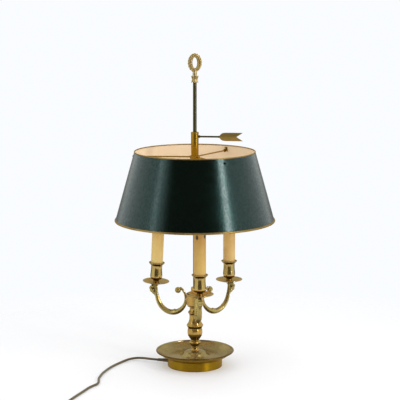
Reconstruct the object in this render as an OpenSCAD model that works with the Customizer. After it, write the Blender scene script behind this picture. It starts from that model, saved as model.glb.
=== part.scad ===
// Bouillotte table lamp: a brass dish foot, a turned stem with three scroll arms and candle lights,
// and a painted metal shade that slides and turns on the pole and is held by an arrow-shaped key.
// Millimetres, +Z up. The origin is the middle of the foot, on the table. -Y is the front.

/* [Foot and dish] */
// Outer diameter of the drum foot
foot_d = 114; // [112:0.5:120]
// Height of the drum foot, up to the underside of the dish
foot_h = 18.7; // [17:0.1:20]
// Outer diameter of the dish over its rolled rim
dish_d = 162.6; // [158:0.2:170]
// Thickness of the spun brass sheet
sheet_t = 1.3; // [1:0.1:1.6]
// Radius of the rolled rim of the dish
roll_r = 1.6; // [1.3:0.1:2]

/* [Stem and pole] */
// Top of the hump in the dish, where the stem stands
stem_z = 32; // [30:0.5:34]
// Radius of the hub that carries the arms
hub_r = 17.5; // [16:0.25:18]
// Diameter of the pole
pole_d = 7.6; // [7:0.1:8]
// Height of the top of the pole, inside the finial
pole_top = 604; // [596:1:608]

/* [Arms and candles] */
// Distance of the candles from the middle of the lamp
arm_reach = 89.5; // [88:0.5:92]
// Direction of the front arm, anticlockwise from +X
arm_turn = -83.5; // [-90:0.5:-75]
// Outer diameter of the candle sleeves
candle_d = 26; // [24:0.5:26]
// Length of the candle sleeves
candle_h = 86; // [70:0.5:100]
// Degrees that the left light leans inwards on its bent arm
left_lean = 3; // [0:0.5:5]

/* [Shade] */
// Outer diameter of the shade at its top edge
shade_top_d = 248; // [236:1:256]
// Outer diameter of the shade at its bottom edge
shade_low_d = 328; // [310:1:340]
// Height of the shade
shade_h = 143; // [130:1:150]
// Height of the bottom edge of the shade above the table
shade_z = 308; // [306:1:320]
// Thickness of the shade's sheet metal
shade_t = 0.8; // [0.6:0.1:1.2]
// Direction of one rod of the shade's spider
spider_turn = -62; // [-65:1:-60]

/* [Slide and key] */
// Outer diameter of the sliding sleeve
sleeve_d = 15.4; // [15:0.1:16.4]
// Length of the arrow key from the middle of the pole
key_reach = 98.5; // [90:0.5:104]
// Direction of the arrow key
key_turn = -6; // [-20:1:20]

/* [Cord] */
// Diameter of the cord
cord_d = 5; // [4.5:0.1:5.5]

/* [Hidden] */
$fn = 96;

foot_r = foot_d / 2;
dish_r = dish_d / 2;
pole_r = pole_d / 2;
tie_r = 5;                    // outer radius of the threaded tie tube
wire_r = 3.4;                 // bore of the tie tube, for the wires
dish_floor = foot_h + sheet_t;
hub_low = 128;                // underside of the hub
hub_top = 150;                // top of the hub, where its cap sits
collar_top = 167;             // top of the cap's collar round the pole
pole_foot = 153;              // lower end of the pole, inside the cap
finial_z = 593;               // underside of the finial's collar
ring_z = 632.2;               // middle of the finial's oval ring
pan_z = 165.8;                // underside of each drip pan at its middle
cup_z = 167.2;                // foot of each candle cup
candle_z = 209.5;             // ledge that carries each candle sleeve
riser_r = 3.6;                // radius of the threaded riser in each candle
holder_z = 246;               // underside of each lamp holder
holder_top = 291;             // top of each lamp holder
screw_z = 139;                // height of the screws that hold the arms
rod_z = 440;                  // height of the spider's rods
rod_r = 1.5;                  // radius of the spider's rods
sleeve_z = 443;               // lower end of the sliding sleeve
sleeve_top = 488;             // upper end of the sliding sleeve, under its cap
sleeve_r = sleeve_d / 2;
liner_r = 5.95;               // outer radius of the grip liner
fit = 0.05;                   // radial clearance of a running fit
key_z = 481.6;                // height of the arrow key
cord_r = cord_d / 2;

BRASS = "#b08d3c";
OLD_BRASS = "#8a7038";
GREEN = "#20372f";
IVORY = "#ecd9a2";
BROWN = "#3b2a1a";

// The arms stand a third of a turn apart.
function arm_angle(i) = arm_turn + 120 * i;
FRONT = 0;
RIGHT = 1;
LEFT = 2;
LEAN = [0, 0, left_lean];
riser_z = 162.2;              // lower end of the riser tubes, in the arms

// The cord's route, from its bushing to the switch, lying on the table.
CORD_ROUTE = [
    [-80, 17, 7], [-90, 20.5, 7], [-100, 25.5, 6.8], [-110, 31.5, 6.3], [-120.5, 35.5, 5.5],
    [-131, 35, 4.6], [-141, 29.5, 3.8], [-149.5, 20, 3], [-157, 8.5, 2.6], [-164, -4, 2.5],
    [-171, -18.5, 2.5], [-178, -36, 2.5], [-184, -55, 2.5], [-189, -74, 2.5], [-192, -93, 2.5],
    [-194, -112, 2.5], [-193, -128, 2.5], [-193, -141, 2.5], [-196, -153, 2.5], [-202, -163, 2.5],
    [-208, -174, 2.5], [-213, -187, 2.5], [-219, -204, 2.5], [-226, -223, 2.5], [-233, -242, 2.5],
    [-239, -260, 2.5], [-243.5, -274, 2.5], [-246, -287, 2.5], [-244.5, -299, 2.5], [-238, -309.5, 2.5],
    [-227.5, -316.5, 3.5], [-214, -319, 4.5]];
CORD_LINK = [[-154, -319, 4.5], [-146, -319, 3.5], [-138, -319, 2.6], [-128, -319, 2.5]];
CORD_TAIL = [[-128, -386, 7.5], [-136, -386, 7.2], [-144, -386, 6.9], [-152, -386, 6.9]];
COIL_AT = [-112, -352.5];     // middle of the coil
COIL_MEAN = 28.5;             // radius at the middle of its turns
COIL_WIDE = 3;                // turns side by side
COIL_HIGH = 2;                // layers of turns
cord_turn = 168;              // direction in which the cord leaves the drum
cord_z = 7;                   // height at which it leaves
SWITCH_AT = [-184, -319];     // middle of the cord switch
rocker_z = 12;                // height of the rocker's pivot
rocker_tilt = 7;              // its tilt to either side; it rests switched off
PLUG_AT = [-152, -386];       // cord end of the plug

// ---------------------------------------------------------------- curves

// A smooth curve (Catmull-Rom) through points, with so many steps between each two.
function curve(p, steps) = concat(
    [for (i = [0 : len(p) - 2], k = [0 : steps - 1])
        let (a = p[max(i - 1, 0)], b = p[i], c = p[i + 1], d = p[min(i + 2, len(p) - 1)], t = k / steps)
        (2 * b + t * (c - a) + t * t * (2 * a - 5 * b + 4 * c - d)
            + t * t * t * (3 * b - a - 3 * c + d)) / 2],
    [p[len(p) - 1]]);

function unit(v) = v / norm(v);

// The direction of a path at its point i; a closed path runs on from its last point to its first.
function heading(p, i, closed) =
    let (n = len(p))
    closed ? unit(p[(i + 1) % n] - p[(i + n - 1) % n])
           : unit(p[min(i + 1, n - 1)] - p[max(i - 1, 0)]);

// A solid that sweeps an oval along a path. side is the direction of the oval's half-width wide[i];
// its half-thickness deep[i] lies across both side and the path. lobes and lobe give it raised
// strands, which turn by twist degrees along the path.
module sweep(path, wide, deep, side, sides, closed = false, lobes = 0, lobe = 0, twist = 0) {
    n = len(path);
    rings = [for (i = [0 : n - 1])
        let (t = heading(path, i, closed), u = unit(side - (side * t) * t), v = cross(t, u))
        [for (k = [0 : sides - 1])
            let (a = 360 * k / sides, s = 1 + lobe * cos(lobes * (a + twist * i / n)))
            path[i] + u * wide[i] * s * cos(a) + v * deep[i] * s * sin(a)]];
    points = [for (ring = rings, q = ring) q];
    last = closed ? n - 1 : n - 2;
    walls = [for (i = [0 : last], k = [0 : sides - 1])
        let (j = (i + 1) % n, m = (k + 1) % sides)
        [i * sides + k, i * sides + m, j * sides + m, j * sides + k]];
    ends = closed ? [] : [[for (k = [sides - 1 : -1 : 0]) k],
                          [for (k = [0 : sides - 1]) (n - 1) * sides + k]];
    // Each wall is split in two, so that every face is flat.
    faces = [for (w = walls, h = [0, 1]) h == 0 ? [w[0], w[1], w[2]] : [w[0], w[2], w[3]]];
    polyhedron(points, [for (f = concat(faces, ends)) [for (k = [len(f) - 1 : -1 : 0]) f[k]]]);
}

// The value of a stepless table of [place, value] pairs.
function at(table, x) = lookup(x, table);

// A round tube of even thickness along a list of points, for the cord.
module cord(points, steps) {
    path = curve(points, steps);
    r = [for (q = path) cord_r];
    sweep(path, r, r, [0, 0, 1], 10);
}

// A turned piece: the outline is [radius, height] pairs, bored through with radius bore.
module turned(outline, bore) {
    low = outline[0][1];
    top = outline[len(outline) - 1][1];
    rotate_extrude() polygon(concat([[bore, low]], outline, [[bore, top]]));
}

// Spun sheet metal with a rolled edge: the upper surface, the roll round c, and the same surface
// one thickness lower.
function rolled_sheet(upper, t, c, r) = concat(upper,
    [for (a = [155 : -28.5 : -130]) c + r * [cos(a), sin(a)]],
    [for (i = [len(upper) - 1 : -1 : 0]) upper[i] - [0, t]]);

// ---------------------------------------------------------------- foot

module foot_drum() {
    lip_t = 1.2;              // the inner lip that the ballast clamps under the dish
    color(BRASS) difference() {
        rotate_extrude() polygon([
            [foot_r - sheet_t, 0], [foot_r - 0.5, 0], [foot_r, 0.5], [foot_r, foot_h],
            [foot_r - 8, foot_h], [foot_r - 8, foot_h - lip_t],
            [foot_r - sheet_t, foot_h - lip_t]]);
        cord_axis() cylinder(r = 3.4, h = 20, center = true);
    }
}

// Stands where the cord leaves the drum, with +Z along the cord.
module cord_axis() {
    rotate([0, 0, cord_turn]) translate([foot_r, 0, cord_z]) rotate([0, 90, 0]) children();
}

module dish_tray() {
    hump = curve([[14, stem_z], [18.5, stem_z - 0.9], [22.5, stem_z - 3.6],
                  [26.5, dish_floor + 3.2], [31, dish_floor + 0.5], [35, dish_floor]], 3);
    wall = curve([[54, dish_floor], [60, dish_floor + 0.9], [66, dish_floor + 3.1],
                  [72, dish_floor + 6.7], [dish_r - 3.4, dish_floor + 11.2]], 3);
    color(BRASS) rotate_extrude() polygon(rolled_sheet(concat([[tie_r, stem_z]], hump, wall),
        sheet_t, [dish_r - roll_r, dish_floor + 12.3], roll_r));
}

module ballast() {
    color("#4a4a48") difference() {
        union() {
            translate([0, 0, 3]) cylinder(r = foot_r - 4, h = foot_h - 4.2);
            translate([0, 0, foot_h - 1.2]) cylinder(r = 48, h = 1.2);
        }
        cylinder(r = tie_r, h = 40);
        translate([0, 0, 3]) cylinder(r = 12, h = 7);
        translate([0, 0, foot_h - 1.2]) cylinder(r = 36, h = 2);
        rotate([0, 0, cord_turn]) translate([8, -4.5, 2]) cube([foot_r, 9, 10.5]);
    }
}

module base_cover() {
    color("#6f6a5c") translate([0, 0, 1.2]) cylinder(r = foot_r - sheet_t - 0.2, h = 1.8);
}

module felt_pad() {
    color("#2f4a35") cylinder(r = foot_r - sheet_t - 0.8, h = 1.2);
}

module tie_tube() {
    color("#9a8a52") translate([0, 0, 6]) difference() {
        cylinder(r = tie_r, h = hub_low + 11 - 6);
        translate([0, 0, -1]) cylinder(r = wire_r, h = hub_low + 11);
    }
}

// One nut under the ballast and one inside the hub pull the whole stem together.
module tie_nuts() {
    color("#9a9a94") for (z = [6, hub_low + 4]) translate([0, 0, z]) difference() {
        cylinder(r = 9.2, h = 4, $fn = 6);
        translate([0, 0, -1]) cylinder(r = tie_r, h = 6);
    }
}

// ---------------------------------------------------------------- stem

module stem_foot() {
    z = stem_z;
    color(OLD_BRASS) turned(concat(
        [[10.4, z], [10.4, z + 0.9]],
        curve([[9.6, z + 1.4], [7.9, z + 3.2], [7.1, z + 5.2]], 3),
        curve([[7.6, z + 5.6], [8.5, z + 6.5], [7.6, z + 7.4]], 3),
        [[6.9, z + 7.9], [6.9, z + 9]]), tie_r);
}

module stem_knop() {
    z = stem_z + 9;
    color(OLD_BRASS) turned(concat(
        [[7.2, z]],
        curve([[8.2, z + 1.6], [10, z + 4.4], [11.7, z + 7], [12.1, z + 8.6],
               [11.2, z + 10.4], [9.2, z + 11.7]], 3),
        [[8.2, z + 12.4], [8.2, z + 13]]), tie_r);
}

module stem_vase() {
    z = stem_z + 22;
    color(OLD_BRASS) turned(concat(
        [[8.2, z], [8.5, z + 1]],
        curve([[8.9, z + 1.6], [11, z + 4.6], [13.9, z + 9.2]], 3),
        curve([[14.4, z + 10], [15.3, z + 13.4], [15.7, z + 17.6], [15.4, z + 21.8],
               [14.9, z + 24.4]], 3),
        [[14.6, z + 25], [14.6, z + 26]]), tie_r);
}

module stem_column() {
    z = stem_z + 48;
    color(OLD_BRASS) turned(concat(
        [[14.6, z], [15.1, z + 1.2], [17.4, z + 5.6], [17.4, z + 6.4]],
        curve([[15.9, z + 8.6], [13.6, z + 12.4], [12.2, z + 16.6], [11.6, z + 21.6],
               [11.6, z + 26], [12.1, z + 29.4]], 3),
        curve([[12.9, z + 31], [14.3, z + 33.2], [13.6, z + 35.2], [11.9, z + 36.8]], 3),
        curve([[11.2, z + 38.4], [10.9, z + 41.6], [11.3, z + 44]], 3),
        [[13.4, z + 45.6], [15.4, z + 46.6], [15.4, z + 48]]), tie_r);
}

module arm_hub() {
    color(BRASS) difference() {
        turned([[15.6, hub_low], [hub_r, hub_low + 1.8], [hub_r, hub_top - 0.6],
                [hub_r - 0.6, hub_top]], tie_r);
        translate([0, 0, hub_low + 4]) cylinder(r = hub_r - 3.5, h = 40);
        for (i = [0 : 2]) at_screw(i) cylinder(r = 1.5, h = 30, center = true);
    }
}

// Stands on the hub's wall where arm i is screwed on, with +Z pointing outwards.
module at_screw(i) {
    rotate([0, 0, arm_angle(i)]) translate([hub_r, 0, screw_z]) rotate([0, 90, 0]) children();
}

module hub_cap() {
    color(OLD_BRASS) difference() {
        turned(concat(
            [[hub_r - 1, hub_top]],
            curve([[hub_r - 1.6, hub_top + 1.2], [13.4, hub_top + 4.4], [10, hub_top + 7],
                   [7.8, hub_top + 9.4]], 3),
            [[8.2, collar_top - 6.6], [8.2, collar_top - 1], [7.2, collar_top]]), 0);
        translate([0, 0, hub_top - 1]) cylinder(r1 = 8.2, r2 = 5.2, h = 4);
        translate([0, 0, pole_foot]) cylinder(r = pole_r, h = 40);
    }
}

module pole() {
    color(OLD_BRASS) translate([0, 0, pole_foot]) cylinder(r = pole_r, h = pole_top - pole_foot);
}

module finial_collar() {
    z = finial_z;
    // Eight leaves stand round the collar.
    color(BRASS) difference() {
        union() {
            turned(concat(
                [[4.6, z]],
                curve([[6.7, z + 1.2], [6, z + 3.2], [5.2, z + 6], [5.2, z + 9], [5.7, z + 12]], 3),
                [[4.6, z + 13.4]]), 0);
            for (i = [0 : 7]) rotate([0, 0, 45 * i])
                translate([4.9, 0, z + 2]) cylinder(r = 1.1, h = 10);
        }
        translate([0, 0, z - 1]) cylinder(r = pole_r, h = pole_top - z + 1);
    }
}

module finial_ring() {
    half_w = 9.4;             // half the width and height of the ring's middle line
    half_h = 14.8;
    path = [for (i = [0 : 39]) let (a = 9 * i) [half_w * sin(a), 0, ring_z - half_h * cos(a)]];
    wide = [for (q = path) 3.7];
    deep = [for (i = [0 : 39]) 3.8 - 0.6 * cos(18 * i)];
    color(BRASS) {
        sweep(path, wide, deep, [0, 1, 0], 12, closed = true, lobes = 3, lobe = 0.06, twist = 960);
        translate([0, 0, finial_z + 13.4])
            cylinder(r1 = 4.6, r2 = 3.9, h = ring_z - half_h - finial_z - 13.4);
    }
}

// ---------------------------------------------------------------- arms

// The middle line of an arm, as [distance from the lamp's middle, height].
ARM_LINE = [[arm_reach, 161], [arm_reach - 0.8, 151], [arm_reach - 2.6, 140], [83.5, 129.5],
            [77, 119.5], [67, 112], [55.5, 108.6], [44, 109.8], [33.5, 115.2], [26, 123],
            [21.8, 132], [21, 141], [23, 150.5], [28, 158.6], [34.5, 162.6]];
// Half the thickness of the arm at each of those points.
ARM_THICK = [[0, 3], [1, 3.1], [2, 3.4], [3, 3.8], [4, 4.3], [5, 4.7], [6, 4.9], [7, 4.8],
             [8, 4.3], [9, 3.6], [10, 2.9], [11, 2.4], [12, 2.1], [13, 2.1], [14, 2.5]];
// The middle line of the leaf under each pan, and half its width and thickness.
LEAF_LINE = [[89.6, 139], [91.6, 144], [95, 148.8], [98.2, 153.4], [98.9, 157.8], [96.2, 161.4],
             [91.5, 162.6]];
LEAF_WIDE = [[0, 0.8], [1, 3.4], [2, 5.4], [3, 6.2], [4, 5.8], [5, 4.4], [6, 2.6]];
LEAF_THICK = [[0, 0.8], [1, 2.4], [2, 4], [3, 5.2], [4, 4.8], [5, 3.2], [6, 2]];

module arm(i) {
    steps = 3;
    line = curve([for (q = ARM_LINE) [q[0], 0, q[1]]], steps);
    thick = [for (i = [0 : len(line) - 1]) at(ARM_THICK, i / steps)];
    leaf = curve([for (q = LEAF_LINE) [q[0], 0, q[1]]], 2);
    wide = [for (i = [0 : len(leaf) - 1]) at(LEAF_WIDE, i / 2)];
    deep = [for (i = [0 : len(leaf) - 1]) at(LEAF_THICK, i / 2)];
    bud = [38.6, 0, 157.2];   // middle of the bud that ends the scroll
    difference() {
        union() {
            sweep(line, thick, thick, [0, 1, 0], 12, lobes = 4, lobe = 0.05);
            sweep(leaf, wide, deep, [0, 1, 0], 8);
            translate(bud) sphere(r = 6.3);
            translate([44, 0, 114]) sphere(r = 3.2);
            // The collar that the pan sits on.
            leaning(i) turned([[3, 158.8], [3.4, 161.2], [5, 163.4], [6.4, 165], [6.4, pan_z]], 0);
            // The lug that meets the hub.
            translate([hub_r - 2, 0, screw_z]) rotate([0, 90, 0]) cylinder(r = 3.4, h = 6);
        }
        cylinder(r = hub_r, h = 300);
        translate([hub_r - 3, 0, screw_z]) rotate([0, 90, 0]) cylinder(r = 1.5, h = 6.4);
        leaning(i) translate([0, 0, riser_z]) cylinder(r = riser_r, h = 10);
    }
}

module arm_at(i) { color(BRASS) rotate([0, 0, arm_angle(i)]) arm(i); }
module arm_front() { arm_at(FRONT); }
module arm_right() { arm_at(RIGHT); }
module arm_left() { arm_at(LEFT); }

module arm_screws() {
    color("#8f8a7a") for (i = [0 : 2]) at_screw(i) {
        translate([0, 0, -5.8]) cylinder(r = 2.8, h = 2);
        translate([0, 0, -3.8]) cylinder(r = 1.5, h = 7.2);
    }
}

// ---------------------------------------------------------------- candles

// Leans what light i carries on the end of its arm.
module leaning(i) {
    translate([arm_reach, 0, pan_z]) rotate([0, -LEAN[i], 0]) translate([0, 0, -pan_z]) children();
}

// Stands in the middle of candle i.
module at_candle(i) {
    rotate([0, 0, arm_angle(i)]) leaning(i) children();
}

module drip_pan() {
    edge = 26.9;              // the middle of the pan's rolled edge
    color(BRASS) rotate_extrude() polygon(rolled_sheet(concat([[riser_r, cup_z], [6.8, cup_z]],
        curve([[9.6, cup_z + 0.4], [14.5, cup_z + 1.5], [20.5, cup_z + 3.4], [edge - 1.2, cup_z + 5.3]], 3)),
        cup_z - pan_z, [edge, cup_z + 5.1], 1));
}

module drip_pan_front() { at_candle(FRONT) drip_pan(); }
module drip_pan_right() { at_candle(RIGHT) drip_pan(); }
module drip_pan_left() { at_candle(LEFT) drip_pan(); }

module candle_cup() {
    z = cup_z;
    lip = candle_z + 3.1;     // top of the flared lip
    color(BRASS) rotate_extrude() polygon(concat(
        [[riser_r, z], [6.6, z], [6.2, z + 1.2], [6, z + 6.8], [6.8, z + 8.4]],
        curve([[9.4, z + 9.4], [11.6, z + 11.4], [12.6, z + 15.2], [12.5, z + 20], [11.9, z + 26.5],
               [11.6, z + 33], [11.7, z + 37.6]], 3),
        curve([[12.2, candle_z - 2.9], [13.6, candle_z - 1.4], [15.4, candle_z + 0.2],
               [16.6, lip - 1.2]], 2),
        [[16.7, lip - 0.5], [16.3, lip], [15.7, lip]],
        curve([[14.8, lip - 1.3], [13.7, candle_z + 0.5], [candle_d / 2 + 0.1, candle_z]], 2),
        [[9.2, candle_z], [9.2, z + 18], [riser_r, z + 14]]));
}

module candle_cup_front() { at_candle(FRONT) candle_cup(); }
module candle_cup_right() { at_candle(RIGHT) candle_cup(); }
module candle_cup_left() { at_candle(LEFT) candle_cup(); }

module riser_tubes() {
    color("#9a8a52") for (i = [0 : 2]) at_candle(i) translate([0, 0, riser_z]) difference() {
        cylinder(r = riser_r, h = holder_z - riser_z);
        translate([0, 0, -1]) cylinder(r = 2.4, h = 100);
    }
}

module candle() {
    color(IVORY) translate([0, 0, candle_z]) difference() {
        cylinder(r = candle_d / 2, h = candle_h);
        translate([0, 0, -1]) cylinder(r = candle_d / 2 - 1.1, h = candle_h + 2);
    }
}

module candle_front() { at_candle(FRONT) candle(); }
module candle_right() { at_candle(RIGHT) candle(); }
module candle_left() { at_candle(LEFT) candle(); }

module lamp_holder() {
    cap_r = 7.2;              // the thread that takes the bulb's cap
    color("#2a2624") difference() {
        turned([[8, holder_z], [10, holder_z + 2], [10.4, holder_z + 16], [10.4, holder_top - 1],
                [9.6, holder_top]], 0);
        translate([0, 0, holder_z + 21]) cylinder(r = cap_r, h = 40);
    }
}

module lamp_holder_front() { at_candle(FRONT) lamp_holder(); }
module lamp_holder_right() { at_candle(RIGHT) lamp_holder(); }
module lamp_holder_left() { at_candle(LEFT) lamp_holder(); }

module bulb_cap() {
    z = holder_z + 21;
    color("#b9b6a8") turned([[2.4, z], [2.4, z + 1.2], [5.6, z + 3], [6.8, z + 4],
                             [6.8, holder_top]], 0);
}

module bulb_cap_front() { at_candle(FRONT) bulb_cap(); }
module bulb_cap_right() { at_candle(RIGHT) bulb_cap(); }
module bulb_cap_left() { at_candle(LEFT) bulb_cap(); }

// A candle-shaped bulb, with its glass 0.9 mm thick.
module bulb() {
    z = holder_top;
    wall = 0.9;
    outer = curve([[6.8, z], [8.4, z + 5], [13.4, z + 14], [17, z + 26], [17.3, z + 34],
                   [15, z + 47], [10.4, z + 60], [5, z + 70], [2, z + 74]], 3);
    inner = [for (q = outer) if (q[1] > z + 1 && q[1] < z + 73) [q[0] - wall, q[1]]];
    color("#f4efe0") rotate_extrude() difference() {
        polygon(concat([[0, z]], outer, [[0, z + 75]]));
        polygon(concat([[0, inner[0][1]]], inner, [[0, inner[len(inner) - 1][1]]]));
    }
}

module bulb_front() { at_candle(FRONT) bulb(); }
module bulb_right() { at_candle(RIGHT) bulb(); }
module bulb_left() { at_candle(LEFT) bulb(); }

// ---------------------------------------------------------------- slide and shade

module grip_liner() {
    color("#6d5a33") translate([0, 0, sleeve_z + 2.5]) difference() {
        cylinder(r = liner_r, h = sleeve_top - sleeve_z - 2.8);
        translate([0, 0, -1]) cylinder(r = pole_r + fit, h = 60);
    }
}

module slide_sleeve() {
    color(BRASS) difference() {
        turned([[sleeve_r, sleeve_z], [sleeve_r, sleeve_top]], 0);
        translate([0, 0, sleeve_z - 1]) cylinder(r = pole_r + 0.4, h = 60);
        translate([0, 0, sleeve_z + 2.2]) cylinder(r = liner_r + fit, h = 60);
        key_axis() cylinder(r = 2, h = 20);
    }
}

// Stands on the pole's middle at the key's height, with +Z along the key.
module key_axis() {
    rotate([0, 0, key_turn]) translate([0, 0, key_z]) rotate([0, 90, 0]) children();
}

module sleeve_cap() {
    color(BRASS) turned([[sleeve_r + 0.3, sleeve_top], [sleeve_r + 0.3, sleeve_top + 2.2],
                         [sleeve_r - 0.4, sleeve_top + 3]], pole_r + 0.4);
}

// The key: a screw end, a round shaft and a fletched tail with a ridge along its middle.
module arrow_key() {
    tail = 50;                // where the tail starts
    half = 8.6;               // half the tail's height
    color(OLD_BRASS) key_axis() {
        translate([0, 0, liner_r + 0.3]) cylinder(r = 2 - fit, h = 4);
        translate([0, 0, sleeve_r + 0.4]) cylinder(r = 2.9, h = 1.8);
        translate([0, 0, sleeve_r + 1]) cylinder(r = 1.6, h = tail - sleeve_r + 3);
        intersection() {
            rotate([90, 0, 0]) linear_extrude(height = 8, center = true) polygon([
                [-1.6, tail], [-half + 0.6, tail + 8.5], [-half, tail + 22], [-half, key_reach],
                [0, key_reach - 13.5], [half, key_reach], [half, tail + 22], [half - 0.6, tail + 9],
                [1.6, tail]]);
            translate([0, 0, tail - 1]) linear_extrude(height = 60)
                polygon([[-9, -0.5], [0, -1.9], [9, -0.5], [9, 0.5], [0, 1.9], [-9, 0.5]]);
        }
    }
}

// The shade's outer radius at a height.
function shade_r(z) = shade_low_d / 2 + (shade_top_d - shade_low_d) / 2 * (z - shade_z) / shade_h;

// Stands on the shade's outside at the end of spider rod i, with +Z pointing outwards.
module at_rod(i) {
    rotate([0, 0, spider_turn + 120 * i]) translate([shade_r(rod_z + 1), 0, rod_z + 1])
        rotate([0, 90, 0]) children();
}

module spider() {
    reach = shade_r(rod_z + 1) - 1.1;
    color(BRASS) difference() {
        union() {
            turned([[8.8, rod_z - 5], [10.2, rod_z - 4], [10.2, rod_z + 2], [9, sleeve_z]], 0);
            for (i = [0 : 2]) rotate([0, 0, spider_turn + 120 * i]) {
                translate([4, 0, rod_z]) rotate([0, 90, 0]) cylinder(r = rod_r, h = reach - 8);
                translate([reach - 6, 0, rod_z + 0.5]) rotate([0, 90, 0]) cylinder(r = 2.6, h = 8);
            }
        }
        translate([0, 0, rod_z - 10]) cylinder(r = pole_r + 0.4, h = 60);
        shade_outside(10, shade_t + 0.02);
        for (i = [0 : 2]) at_rod(i) translate([0, 0, -6]) cylinder(r = 1.3, h = 8);
    }
}

// Everything outside the shade's wall, less a depth, used to trim what meets the wall.
module shade_outside(thick, depth) {
    rotate_extrude() polygon([
        [shade_r(shade_z + 100) - depth, shade_z + 100],
        [shade_r(shade_z + 100) + thick, shade_z + 100],
        [shade_r(shade_z + shade_h) + thick, shade_z + shade_h],
        [shade_r(shade_z + shade_h) - depth, shade_z + shade_h]]);
}

module spider_nuts() {
    reach = shade_r(rod_z + 1) - 1.1;
    color(OLD_BRASS) for (i = [0 : 2]) rotate([0, 0, spider_turn + 120 * i])
        translate([reach - 8.2, 0, rod_z]) rotate([0, 90, 0]) difference() {
            cylinder(r = 3.4, h = 2.2, $fn = 6);
            translate([0, 0, -1]) cylinder(r = rod_r, h = 5);
        }
}

// The section of the shade's wall, from one height to another.
module wall_section(low, top) {
    polygon([[shade_r(low) - shade_t, low], [shade_r(low), low],
             [shade_r(top), top], [shade_r(top) - shade_t, top]]);
}

module shade_shell() {
    color(GREEN) difference() {
        rotate_extrude() wall_section(shade_z, shade_z + shade_h);
        for (i = [0 : 2]) at_rod(i) cylinder(r = 1.3, h = 10, center = true);
    }
}

// A rolled edge round the shade, open where it grips the wall.
module rolled_edge(z, r) {
    rotate_extrude() difference() {
        translate([shade_r(z) - shade_t / 2, z]) circle(r = r);
        wall_section(shade_z, shade_z + shade_h);
    }
}

module shade_top_rim() { color(BRASS) rolled_edge(shade_z + shade_h - 0.4, 1.2); }

module shade_low_bead() { color(BRASS) rolled_edge(shade_z + 0.9, 2.2); }

module shade_screws() {
    color(OLD_BRASS) for (i = [0 : 2]) at_rod(i) {
        translate([0, 0, 0.5]) cylinder(r = 2.7, h = 1.6);
        translate([0, 0, -5.5]) cylinder(r = 1.3, h = 6.2);
    }
}

// ---------------------------------------------------------------- cord

// The bushing grips the drum's wall between two flanges.
module cord_bushing() {
    inside = -sheet_t - 0.15; // the wall's inner face curves away from the cord
    color(BROWN) cord_axis() {
        translate([0, 0, inside - 1.6]) cylinder(r = 3.9, h = 1.6);
        translate([0, 0, inside]) cylinder(r = 3.4, h = 0.5 - inside);
        cylinder(r = 4.6, h = 1.6);
        translate([0, 0, 1.6]) cylinder(r1 = 3.9, r2 = 2.9, h = 22.5);
    }
}

module cord_run() { color(BROWN) cord(CORD_ROUTE, 2); }

module cord_link() { color(BROWN) cord(CORD_LINK, 1); }

module cord_tail() { color(BROWN) cord(CORD_TAIL, 1); }

module cord_coil() {
    wide = COIL_WIDE * cord_d / 2;
    high = COIL_HIGH * cord_d;
    soft = cord_r * 0.6;
    color(BROWN) translate([COIL_AT[0], COIL_AT[1], 0]) rotate_extrude() polygon([
        [COIL_MEAN - wide + soft, 0], [COIL_MEAN + wide - soft, 0], [COIL_MEAN + wide, soft],
        [COIL_MEAN + wide, high - soft], [COIL_MEAN + wide - soft, high],
        [COIL_MEAN - wide + soft, high], [COIL_MEAN - wide, high - soft], [COIL_MEAN - wide, soft]]);
}

// The switch seen from above: a boat shape with blunt ends.
module switch_outline(grow = 0) {
    polygon([[-30 - grow, -7], [-20, -13 - grow], [20, -13 - grow], [30 + grow, -7],
             [30 + grow, 7], [20, 13 + grow], [-20, 13 + grow], [-30 - grow, 7]]);
}

module at_switch() { translate([SWITCH_AT[0], SWITCH_AT[1], 0]) children(); }

module switch_base() {
    color(BROWN) at_switch() difference() {
        linear_extrude(height = 8) switch_outline();
        translate([-18, -9, 2]) cube([36, 18, 10]);
    }
}

module switch_cover() {
    color(BROWN) at_switch() difference() {
        intersection() {
            translate([0, 0, 8]) linear_extrude(height = 9) switch_outline();
            rotate([90, 0, 0]) linear_extrude(height = 40, center = true)
                polygon([[-30, 8], [30, 8], [30, 9], [22, 14.4], [13, 16], [-13, 16], [-22, 14.4],
                         [-30, 9]]);
        }
        translate([-11.2, -5.9, 0]) cube([22.4, 11.8, 20]);
        translate([0, 0, rocker_z]) rotate([90, 0, 0]) cylinder(r = 1.5 + fit, h = 16, center = true);
    }
}

module switch_rocker() {
    color(BROWN) at_switch() translate([0, 0, rocker_z]) rotate([0, -rocker_tilt, 0]) {
        rotate([90, 0, 0]) linear_extrude(height = 11, center = true)
            polygon([[-9.8, 4.6], [-3, 3.4], [3, 3.4], [9.8, 4.6], [10, 0], [3, -3], [-3, -3], [-10, 0]]);
        rotate([90, 0, 0]) cylinder(r = 1.5, h = 15, center = true);
    }
}

// The plug lies flat, with its pins pointing along -X.
module at_plug() {
    translate([PLUG_AT[0], PLUG_AT[1], 6.9]) rotate([0, 0, 180]) children();
}

module plug_body() {
    color(BROWN) at_plug() intersection() {
        linear_extrude(height = 20, center = true) polygon([
            [0, -4], [7, -5], [14, -12.5], [20, -17], [35, -17], [36.5, -15.5],
            [36.5, 15.5], [35, 17], [20, 17], [14, 12.5], [7, 5], [0, 4]]);
        rotate([90, 0, 0]) linear_extrude(height = 40, center = true) polygon([
            [0, -3.4], [7, -4.2], [13, -6.9], [36.5, -6.9], [36.5, 6.9], [13, 6.9], [7, 4.2], [0, 3.4]]);
    }
}

module plug_pins() {
    color("#c9c6bc") at_plug() for (side = [-1, 1])
        translate([36.5, 9.5 * side, 0]) rotate([0, 90, 0]) cylinder(r = 2, h = 19);
}

// ---------------------------------------------------------------- parts

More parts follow.
